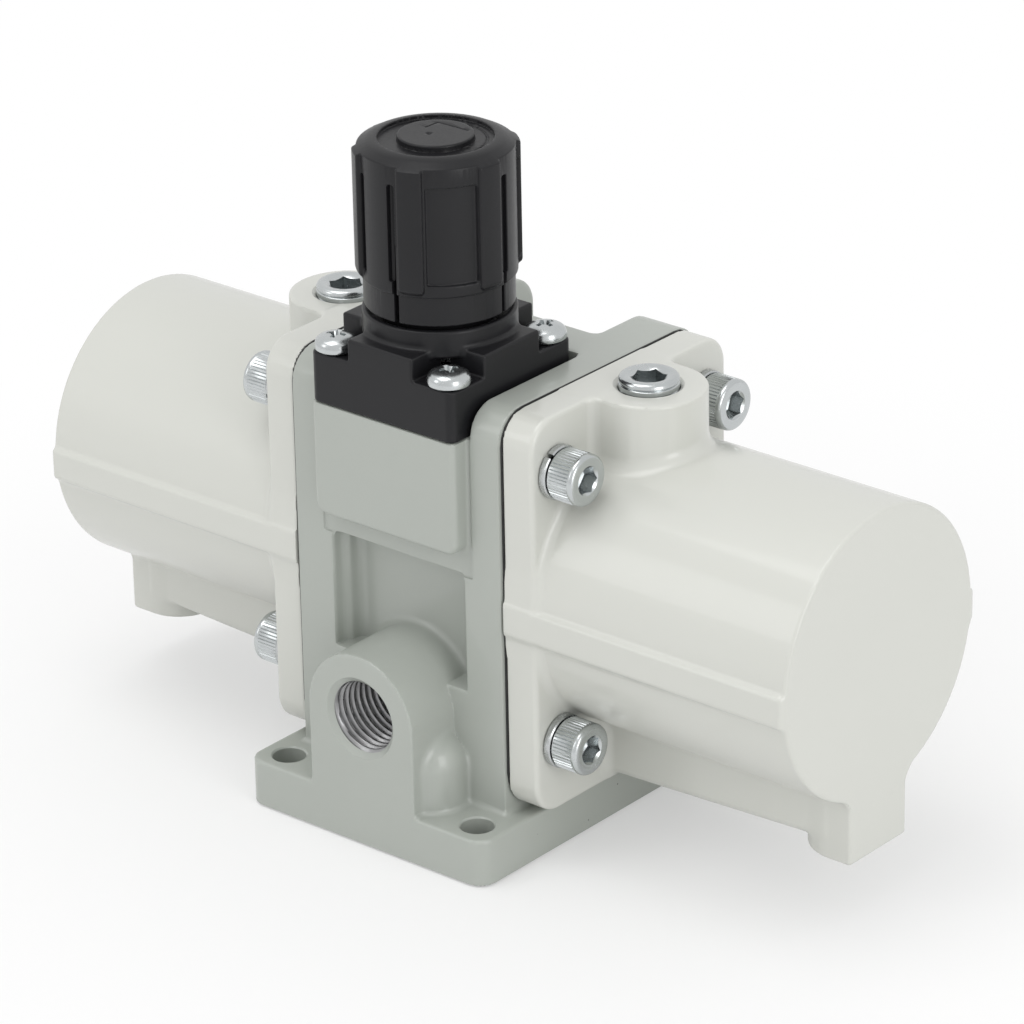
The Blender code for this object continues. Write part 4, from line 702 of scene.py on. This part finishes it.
def knobField(x, y, z):
    s = knobShape
    y = y - governorY
    r = np.hypot(x, y)
    angle = np.degrees(np.arctan2(y, x))

    def away(centre, period):
        return (angle - centre + period / 2) % period - period / 2

    def across(degrees):
        return np.radians(degrees) * np.maximum(r, 6.0)

    field = corner(r - s["coreR"], s["skirtTop"] - z, 0.3)
    field = join(field, corner(r - s["skirtR"], s["bottom"] - z, 0.25), 0.1)
    lobe = corner(np.abs(across(away(s["lobePhase"], 60))) - s["lobeHalf"], r - s["lobeR"], 0.3)
    field = join(field, corner(lobe, s["lobeBottom"] - z, 1.2), 0.25)
    crown = (z - s["top"] + s["crownSlope"] * (r - s["crownR"])) / math.hypot(1, s["crownSlope"])
    field = corner(field, corner(crown, z - s["top"], 0.4), s["crownEdge"])
    turn = np.abs(away(s["panelAt"], 180))
    window = corner(across(turn - s["panelHalf"]), slab(z, s["panelBottom"], s["panelTop"]), 0.4)
    field = cut(field, corner(window, s["panelR"] - r, 0.25), 0.2)
    for centre, half in s["tongueGrooves"]:
        groove = corner(across(np.abs(turn - centre) - half), slab(z, s["panelBottom"], s["panelTop"]), 0.35)
        field = cut(field, corner(groove, s["grooveR"] - r, 0.25), 0.15)
    slit = np.abs(across(away(s["slitAt"], 90))) - s["slitHalf"]
    slit = np.maximum(slit, np.maximum(z - s["slitTop"], 9.0 - r))
    field = np.maximum(field, -slit)
    field = cut(field, corner(r - s["ringR"], s["floor"] - z, 0.15), 0.12)
    field = join(field, corner(r - s["discR"], slab(z, 106, s["discTop"]), 0.25), 0.1)
    dimple = fromView(*s["dimpleAt"])
    ball = np.sqrt((x - dimple[0]) ** 2 + (y - dimple[1]) ** 2 + (z - s["discTop"] - 0.35) ** 2)
    field = cut(field, ball - s["dimpleR"], 0.15)
    tip = fromView(*s["arrowTip"])
    left, right = (fromView(*end) for end in s["arrowEnds"])
    mark = np.minimum(nearLine(x, y, tip, left), nearLine(x, y, tip, right))
    field = cut(field, corner(mark - s["arrowHalf"], s["discTop"] - 0.18 - z, 0.05), 0.05)
    arc = np.maximum(np.abs(r - s["arcR"]), across(np.abs(away(s["arcAt"], 360)) - s["arcHalf"]))
    field = cut(field, np.maximum(arc - 0.15, np.abs(z - s["floor"]) - 0.16))
    field = np.maximum(field, -np.maximum(r - s["boreR"], z - s["boreTop"]))
    flats = [math.pi / 6 + math.pi / 3 * i for i in range(6)]
    hexagon = np.max([x * math.cos(a) + y * math.sin(a) for a in flats], axis=0)
    return np.maximum(field, -np.maximum(hexagon - s["hexagonHalf"], z - s["hexagonTop"]))


knobLines = [
    stations(-13.5, 13.5, 0.21 * detail, 0.21 * detail, []),
    stations(governorY - 13.5, governorY + 13.5, 0.21 * detail, 0.21 * detail, []),
    stations(87.0, 115.2, 0.19 * detail, 1.2 * detail,
             [(87.0, 88.0), (91.6, 95.0), (100.0, 100.8), (109.8, 115.2)]),
]
knob = lighter(skin("knobCap", knobField, knobLines), 0.6)
piece(knob, "black_plastic", "knob", ["knob"], even=True)


# fasteners: one node tree sets a head, with an optional ring of ridges, on every place

def fastenerTree():
    tree = bpy.data.node_groups.new("fastenerSet", "GeometryNodeTree")
    inputs = {"Places": "Geometry", "Head": "Object", "Ridge": "Object",
              "Ridges": "Int", "Ridge Radius": "Float", "Finish": "Material"}
    for name, kind in inputs.items():
        tree.interface.new_socket(name, in_out="INPUT", socket_type="NodeSocket" + kind)
    tree.interface.new_socket("Geometry", in_out="OUTPUT", socket_type="NodeSocketGeometry")
    nodes = Tree(tree)
    given = nodes.add("NodeGroupInput").socket.node
    take = {socket.name: Value(nodes, socket) for socket in given.outputs if socket.name}
    head = nodes.add("GeometryNodeObjectInfo", {}, {"Object": take["Head"]}, output=4)
    ridge = nodes.add("GeometryNodeObjectInfo", {}, {"Object": take["Ridge"]}, output=4)
    ring = nodes.add("GeometryNodeMeshCircle", {}, {
        "Vertices": take["Ridges"], "Radius": take["Ridge Radius"]})
    index = nodes.add("GeometryNodeInputIndex")
    angle = index * (2 * math.pi) / take["Ridges"]
    spin = nodes.add("ShaderNodeCombineXYZ", {}, {"Z": angle})
    knurl = nodes.add("GeometryNodeInstanceOnPoints", {}, {
        "Points": ring, "Instance": ridge, "Rotation": spin})
    whole = nodes.add("GeometryNodeJoinGeometry", {}, {0: head})
    nodes.links.new(knurl.socket, whole.socket.node.inputs[0])
    turn = nodes.add("GeometryNodeInputNamedAttribute", {"data_type": "FLOAT_VECTOR"}, {"Name": "turn"})
    placed = nodes.add("GeometryNodeInstanceOnPoints", {}, {
        "Points": take["Places"], "Instance": whole, "Rotation": turn})
    real = nodes.add("GeometryNodeRealizeInstances", {}, {"Geometry": placed})
    finished = nodes.add("GeometryNodeSetMaterial", {}, {"Geometry": real, "Material": take["Finish"]})
    nodes.add("NodeGroupOutput", {}, {"Geometry": finished})
    return tree


fasteners = fastenerTree()
noRidge = newObject("noRidge", bpy.data.meshes.new("noRidge"))


def scatter(name, places, head, finish, ridge=None, ridges=3, ridgeRadius=1.0):
    # places are (point, rotation matrix) pairs
    mesh = meshOf(name, [point for point, _ in places], [])
    turns = mesh.attributes.new("turn", "FLOAT_VECTOR", "POINT")
    for item, (_, turn) in zip(turns.data, places):
        item.vector = turn.to_euler()
    made = newObject(name, mesh)
    modifier = made.modifiers.new("fasteners", "NODES")
    modifier.node_group = fasteners
    values = {"Head": head, "Ridge": ridge or noRidge, "Ridges": ridges,
              "Ridge Radius": ridgeRadius, "Finish": finishes[finish]}
    for item in fasteners.interface.items_tree:
        if item.name in values:
            modifier[item.identifier] = values[item.name]
    result = newObject(name, applied(made))
    for part in (head, ridge):
        if part:
            bpy.data.objects.remove(part)
    return result


coverScrewShape = {
    "headR": 4.25, "headHeight": 5.0, "shankR": 2.45, "length": 14.0, "socketR": 2.33, "socketDepth": 2.7,
    "ridges": 46, "knurlLow": 0.12, "knurlHigh": 3.9, "knurlDepth": 0.16,
}
washerShape = {"outerR": 4.42, "innerR": 2.65, "thickness": 1.3, "gap": 5.0, "edge": 0.2, "steps": 56}


def roundedEdge(r, z, radius, steps=5):
    # points of a quarter turn round (r, z), from the outermost one to the highest
    angles = [math.radians(90 * i / steps) for i in range(steps + 1)]
    return [(r + radius * math.cos(angle), z + radius * math.sin(angle)) for angle in angles]


def coverScrewHead():
    s = coverScrewShape
    root = s["headR"] - s["knurlDepth"]
    top, shank, low = s["headHeight"], s["shankR"], -s["length"]
    profile = [(0, low), (shank - 0.4, low), (shank, low + 0.5), (shank, 0),
               (root - 0.1, 0), (root, 0.1), (root, s["knurlHigh"]),
               (s["headR"] - 0.02, s["knurlHigh"] + 0.22)]
    profile += roundedEdge(s["headR"] - 0.62, top - 0.6, 0.6)
    profile += [(s["socketR"] + 0.75, top), (s["socketR"] + 0.55, top - 0.04), (0, top - 0.04)]
    head = turned("coverScrewHead", profile, 64)
    floor, wall, lip = top - s["socketDepth"], s["socketR"], s["socketR"] + 0.12
    socket = turned("socketTool", [(0, floor - 0.9), (wall, floor), (wall, 8), (0, 8)], 6)
    lead = turned("leadTool", [(0, top - 2.2), (lip, top - 0.02), (lip, 8), (0, 8)], 40)
    return carve(head, [socket, lead])


def knurlRidge():
    s = coverScrewShape
    half = math.pi * s["headR"] / s["ridges"] * 0.62
    low, high, depth = s["knurlLow"], s["knurlHigh"], s["knurlDepth"]
    points = [(-depth - 0.1, -half, low), (-depth - 0.1, half, low), (0, 0, low + 0.2),
              (-depth - 0.1, -half, high + 0.15), (-depth - 0.1, half, high + 0.15), (0, 0, high)]
    faces = [(0, 1, 2), (5, 4, 3), (0, 3, 4, 1), (1, 4, 5, 2), (2, 5, 3, 0)]
    return newObject("knurlRidge", meshOf("knurlRidge", points, faces))


def springWasher():
    # a square wire wound almost once round, its ends a little apart in height
    s = washerShape
    e = s["edge"]
    low, high, inner, outer = 0.0, s["thickness"], s["innerR"], s["outerR"]
    section = [(inner, low + e), (inner + e, low), (outer - e, low), (outer, low + e),
               (outer, high - e), (outer - e, high), (inner + e, high), (inner, high - e)]
    steps = s["steps"]
    points = []
    for i in range(steps + 1):
        angle = math.radians(s["gap"] + (360 - 2 * s["gap"]) * i / steps)
        lift = 0.08 * (i / steps - 0.5)
        points += [(r * math.cos(angle), r * math.sin(angle), h * 0.94 + 0.04 + lift) for r, h in section]
    faces = [list(range(8)), list(range(steps * 8, steps * 8 + 8))[::-1]]
    for i in range(steps):
        for k in range(8):
            here, after = i * 8, i * 8 + 8
            faces.append([after + k, after + (k + 1) % 8, here + (k + 1) % 8, here + k])
    return newObject("springWasher", meshOf("springWasher", points, faces))


def coverPlaces(standOff, spins):
    places = []
    names = []
    for name, side in (("left", -1), ("right", 1)):
        number = 0
        for z in coverScrewHeights:
            for y in (-coverScrewY, coverScrewY):
                number += 1
                spin = Matrix.Rotation(math.radians(spins[len(places)]), 3, "Z")
                turn = Matrix.Rotation(side * math.pi / 2, 3, "Y") @ spin
                places.append(((side * (coverShape["flangeX"] + standOff), y, z), turn))
                names.append(f"{name}_{number}")
    return places, names


screwPlaces, screwNames = coverPlaces(1.5, (12, 47, 33, 5, 8, 51, 22, 38))
screws = scatter("coverScrews", screwPlaces, coverScrewHead(), "zinc_plate", knurlRidge(),
                 coverScrewShape["ridges"], coverScrewShape["headR"])
piece(screws, "zinc_plate", "housing", ["cover_screw_" + name for name in screwNames])
washerPlaces, washerNames = coverPlaces(0.1, (40, 130, 260, 310, 150, 60, 215, 330))
washers = scatter("springWashers", washerPlaces, springWasher(), "spring_steel")
piece(washers, "spring_steel", "housing", ["spring_washer_" + name for name in washerNames])


bonnetScrewShape = {
    "headR": 3.5, "headHeight": 2.6, "shankR": 1.95, "length": 12.0,
    "wing": 1.95, "wingWidth": 0.42, "depth": 1.5,
}


def bonnetScrewHead():
    s = bonnetScrewShape
    rim, shank, bottom = s["headR"], s["shankR"], -s["length"]
    profile = [(0, bottom), (shank - 0.3, bottom), (shank, bottom + 0.4), (shank, 0),
               (rim - 0.35, 0), (rim - 0.08, 0.25), (rim, 0.7), (rim - 0.12, 1.25)]
    dome = (0.35, 0.6, 0.85, 1.1, 1.35)
    profile += [(rim * math.cos(a) * 0.97, 1.2 + (s["headHeight"] - 1.2) * math.sin(a)) for a in dome]
    profile += [(0, s["headHeight"])]
    head = turned("bonnetScrewHead", profile, 56)
    top = s["headHeight"] + 0.3
    tools = []
    for i in range(4):
        low = top - s["depth"] - 0.3
        points = []
        for reach, half, level in ((0.5, s["wingWidth"] * 0.6, low), (s["wing"], s["wingWidth"], top)):
            points += [(-0.1, -half, level), (reach, -half, level), (reach, half, level), (-0.1, half, level)]
        faces = [(3, 2, 1, 0), (4, 5, 6, 7), (0, 1, 5, 4), (1, 2, 6, 5), (2, 3, 7, 6), (3, 0, 4, 7)]
        wing = newObject("wing", meshOf("wing", points, faces))
        tools.append(moved(wing, Matrix.Rotation(i * math.pi / 2, 4, "Z")))
    tools.append(turned("coneTool", [(0, s["headHeight"] - s["depth"] - 0.35), (1.05, top), (0, top)], 16))
    return carve(head, tools)


bonnetSpins = (18, 62, 35, 80)
bonnetPlaces = []
for y in (-1, 1):
    for x in (-1, 1):
        turn = Matrix.Rotation(math.radians(bonnetSpins[len(bonnetPlaces)]), 3, "Z")
        place = (x * bonnetScrewAt, governorY + y * bonnetScrewAt, bonnetShape["notchSeat"] + 0.1)
        bonnetPlaces.append((place, turn))
bonnetScrews = scatter("bonnetScrews", bonnetPlaces, bonnetScrewHead(), "zinc_plate")
piece(bonnetScrews, "zinc_plate", "housing", ["bonnet_screw_" + str(i) for i in (1, 2, 3, 4)])


# gauge port plugs

plugShape = {
    "radius": 4.85, "low": 70.5, "top": 78.3, "round": 0.8, "groove": 77.25,
    "socketR": 2.9, "socketDepth": 4.3, "threadStep": 0.907,
}


def gaugePlug():
    s = plugShape
    profile = [(0, s["low"]), (s["radius"] - 0.5, s["low"]), (s["radius"] - 0.15, s["low"] + 0.5)]
    z = s["low"] + 0.8
    while z < 76.0:
        profile += [(s["radius"] - 0.02, z), (s["radius"] - 0.42, z + 0.45)]
        z += s["threadStep"]
    profile += [(s["radius"] - 0.02, 76.35), (s["radius"], 76.6), (s["radius"], s["groove"] - 0.22),
                (s["radius"] - 0.28, s["groove"]), (s["radius"] - 0.04, s["groove"] + 0.18)]
    profile += roundedEdge(s["radius"] - s["round"], s["top"] - s["round"], s["round"], 6)
    profile += [(s["socketR"] + 0.5, s["top"]), (s["socketR"] + 0.3, s["top"] - 0.12), (0, s["top"] - 0.12)]
    plug = turned("gaugePlug", profile, 72)
    floor, wall, lip = s["top"] - s["socketDepth"], s["socketR"], s["socketR"] + 0.3
    socket = turned("socketTool", [(0, floor - 1), (wall, floor), (wall, 80), (0, 80)], 6)
    lead = turned("leadTool", [(0, s["top"] - 2.3), (lip, s["top"] - 0.1), (lip, 80), (0, 80)], 56)
    return carve(plug, [socket, lead])


for name, side, spin in (("Left", -1, 20), ("Right", 1, 47)):
    place = Matrix.Translation((side * coverShape["gaugeX"], 0, 0))
    plug = moved(gaugePlug(), place @ Matrix.Rotation(math.radians(spin), 4, "Z"))
    plug.name = "gaugePlug" + name
    piece(plug, "zinc_plate", "housing", ["gauge_plug_" + name.lower()])


# port threads: a thin sleeve whose inner wall is a helix

threadShape = {
    "pitch": 1.337, "crestR": 5.76, "rootR": 6.52, "outerR": 6.63, "mouthR": 6.12,
    "start": 0.95, "length": 11.9, "turnSteps": 96, "rowsPerTurn": 12,
}


def threadSleeve(name, centre, face, side):
    s = threadShape
    rows = int(s["length"] / s["pitch"] * s["rowsPerTurn"])
    depth = np.linspace(s["start"], s["length"], rows)
    angle = np.arange(s["turnSteps"]) * 2 * math.pi / s["turnSteps"]
    phase = (depth[:, None] / s["pitch"] - angle[None, :] / (2 * math.pi)) % 1.0
    wave = np.clip(np.abs(phase - 0.5) * 2.6 - 0.22, 0, 1)  # flat crest and root with sloping flanks
    inner = s["crestR"] + (s["rootR"] - s["crestR"]) * wave
    lead = s["mouthR"] - (depth[:, None] - s["start"]) * 0.6
    inner = np.minimum(np.maximum(inner, lead), s["outerR"] - 0.03)
    heights = np.broadcast_to(-depth[:, None], inner.shape)
    points = np.stack([inner * np.cos(angle), inner * np.sin(angle), heights], 2)
    outer = np.stack([s["outerR"] * np.cos(angle), s["outerR"] * np.sin(angle), 0 * angle], 1)
    first = outer + (0, 0, -s["start"])
    last = outer + (0, 0, -s["length"])
    points = np.concatenate([first[None], points, last[None]])
    count = s["turnSteps"]
    faces = []
    for row in range(len(points)):
        after = (row + 1) % len(points)
        for i in range(count):
            j = (i + 1) % count
            faces.append((row * count + i, row * count + j, after * count + j, after * count + i))
    made = newObject(name, meshOf(name, points.reshape(-1, 3), faces))
    turn = Matrix.Rotation(math.radians(90 if side < 0 else -90), 4, "X")
    return moved(made, Matrix.Translation((0, side * face, centre)) @ turn)


for name, centre, face, side in ports:
    piece(threadSleeve(name, centre, face, side), "cut_metal", "housing", angle=60)
bpy.data.objects.remove(noRidge)


# camera

cameraLook = {
    "azimuth": viewAzimuth, "elevation": 24.34, "roll": -1.16,
    "distance": 0.8875, "target": (0.0, 0.00368, 0.04722),
    "lens": 5499.84 / 1024 * 36, "shiftX": -0.0007, "shiftY": -0.0143,
}


def placeCamera():
    look = cameraLook
    a, e, r = (math.radians(look[key]) for key in ("azimuth", "elevation", "roll"))
    back = Vector((math.sin(a) * math.cos(e), -math.cos(a) * math.cos(e), math.sin(e)))
    right = Vector((math.cos(a), math.sin(a), 0))
    up = back.cross(right)
    camera = bpy.data.cameras.new("camera")
    camera.sensor_width = 36
    camera.lens = look["lens"]
    camera.shift_x = look["shiftX"]
    camera.shift_y = look["shiftY"]
    camera.clip_start = 0.01
    made = newObject("camera", camera)
    rightRolled = right * math.cos(r) + up * math.sin(r)
    upRolled = up * math.cos(r) - right * math.sin(r)
    turn = Matrix((rightRolled, upRolled, back)).transposed()
    made.matrix_world = Matrix.Translation(Vector(look["target"]) + back * look["distance"]) @ turn.to_4x4()
    bpy.context.scene.camera = made


placeCamera()


# floor, background and light

studio = {
    "floorHalf": 3, "floorColour": (0.86, 0.86, 0.86), "world": 0.85, "fadeFrom": 0.06, "fadeTo": 0.19,
    "lamps": [
        # name, place, size, watts
        ("topSoft", (-0.15, -0.25, 0.95), (0.6, 0.6), 2.5),
        ("frontSoft", (-0.6, -0.95, 0.6), (0.35, 0.5), 0.9),
        ("rightSoft", (0.95, -0.25, 0.35), (0.4, 0.6), 2.3),
    ],
}


def makeStudio():
    edge = studio["floorHalf"]
    corners = [(-edge, -edge, 0), (edge, -edge, 0), (edge, edge, 0), (-edge, edge, 0)]
    floor = newObject("floor", meshOf("floor", corners, [(0, 1, 2, 3)]))
    made, tree = newMaterial("floorFinish")
    place = objectPlace(tree)
    colour = studio["floorColour"]
    tone = tree.mix(noise(tree, place, 6.0), shade(colour, 0.99), shade(colour, 1.01))
    surface = tree.add("ShaderNodeBsdfPrincipled", {}, {"Base Color": tone, "Roughness": 0.6})
    # away from the object the camera sees plain white; near it the floor takes the shadow, but about a third
    # of that white glow stays on it, a painted light that makes the shadow paler
    away = tree.add("ShaderNodeVectorMath", {"operation": "LENGTH"}, {0: place}, output=1)
    fade = tree.add("ShaderNodeMapRange", {"interpolation_type": "SMOOTHSTEP"}, {
        "Value": away, "From Min": studio["fadeFrom"], "From Max": studio["fadeTo"],
        "To Min": 0.35, "To Max": 1.0})
    seen = tree.add("ShaderNodeLightPath")
    white = tree.add("ShaderNodeEmission", {}, {"Color": (1, 1, 1, 1), "Strength": 1.0})
    mixed = tree.add("ShaderNodeMixShader", {}, {0: fade * seen, 1: surface, 2: white})
    tree.add("ShaderNodeOutputMaterial", {}, {"Surface": mixed})
    floor.data.materials.append(made)
    floor.location.z = -0.0002
    world = bpy.data.worlds.new("studio")
    world.use_nodes = True
    world.node_tree.nodes.clear()
    tree = Tree(world.node_tree)
    seen = tree.add("ShaderNodeLightPath")
    level = studio["world"]
    glow = tree.add("ShaderNodeBackground", {}, {
        "Color": (1, 1, 1, 1), "Strength": seen * (1.0 - level) + level})
    tree.add("ShaderNodeOutputWorld", {}, {"Surface": glow})
    bpy.context.scene.world = world
    for name, place, size, watts in studio["lamps"]:
        lamp = bpy.data.lights.new(name, "AREA")
        lamp.shape = "RECTANGLE"
        lamp.size, lamp.size_y = size
        lamp.energy = watts
        made = newObject(name, lamp)
        made.location = place
        made.rotation_euler = (Vector((0, 0, 0.04)) - Vector(place)).to_track_quat("-Z", "Y").to_euler()


makeStudio()
bpy.context.scene.view_settings.view_transform = "Standard"
print("camera, floor and lamps placed")
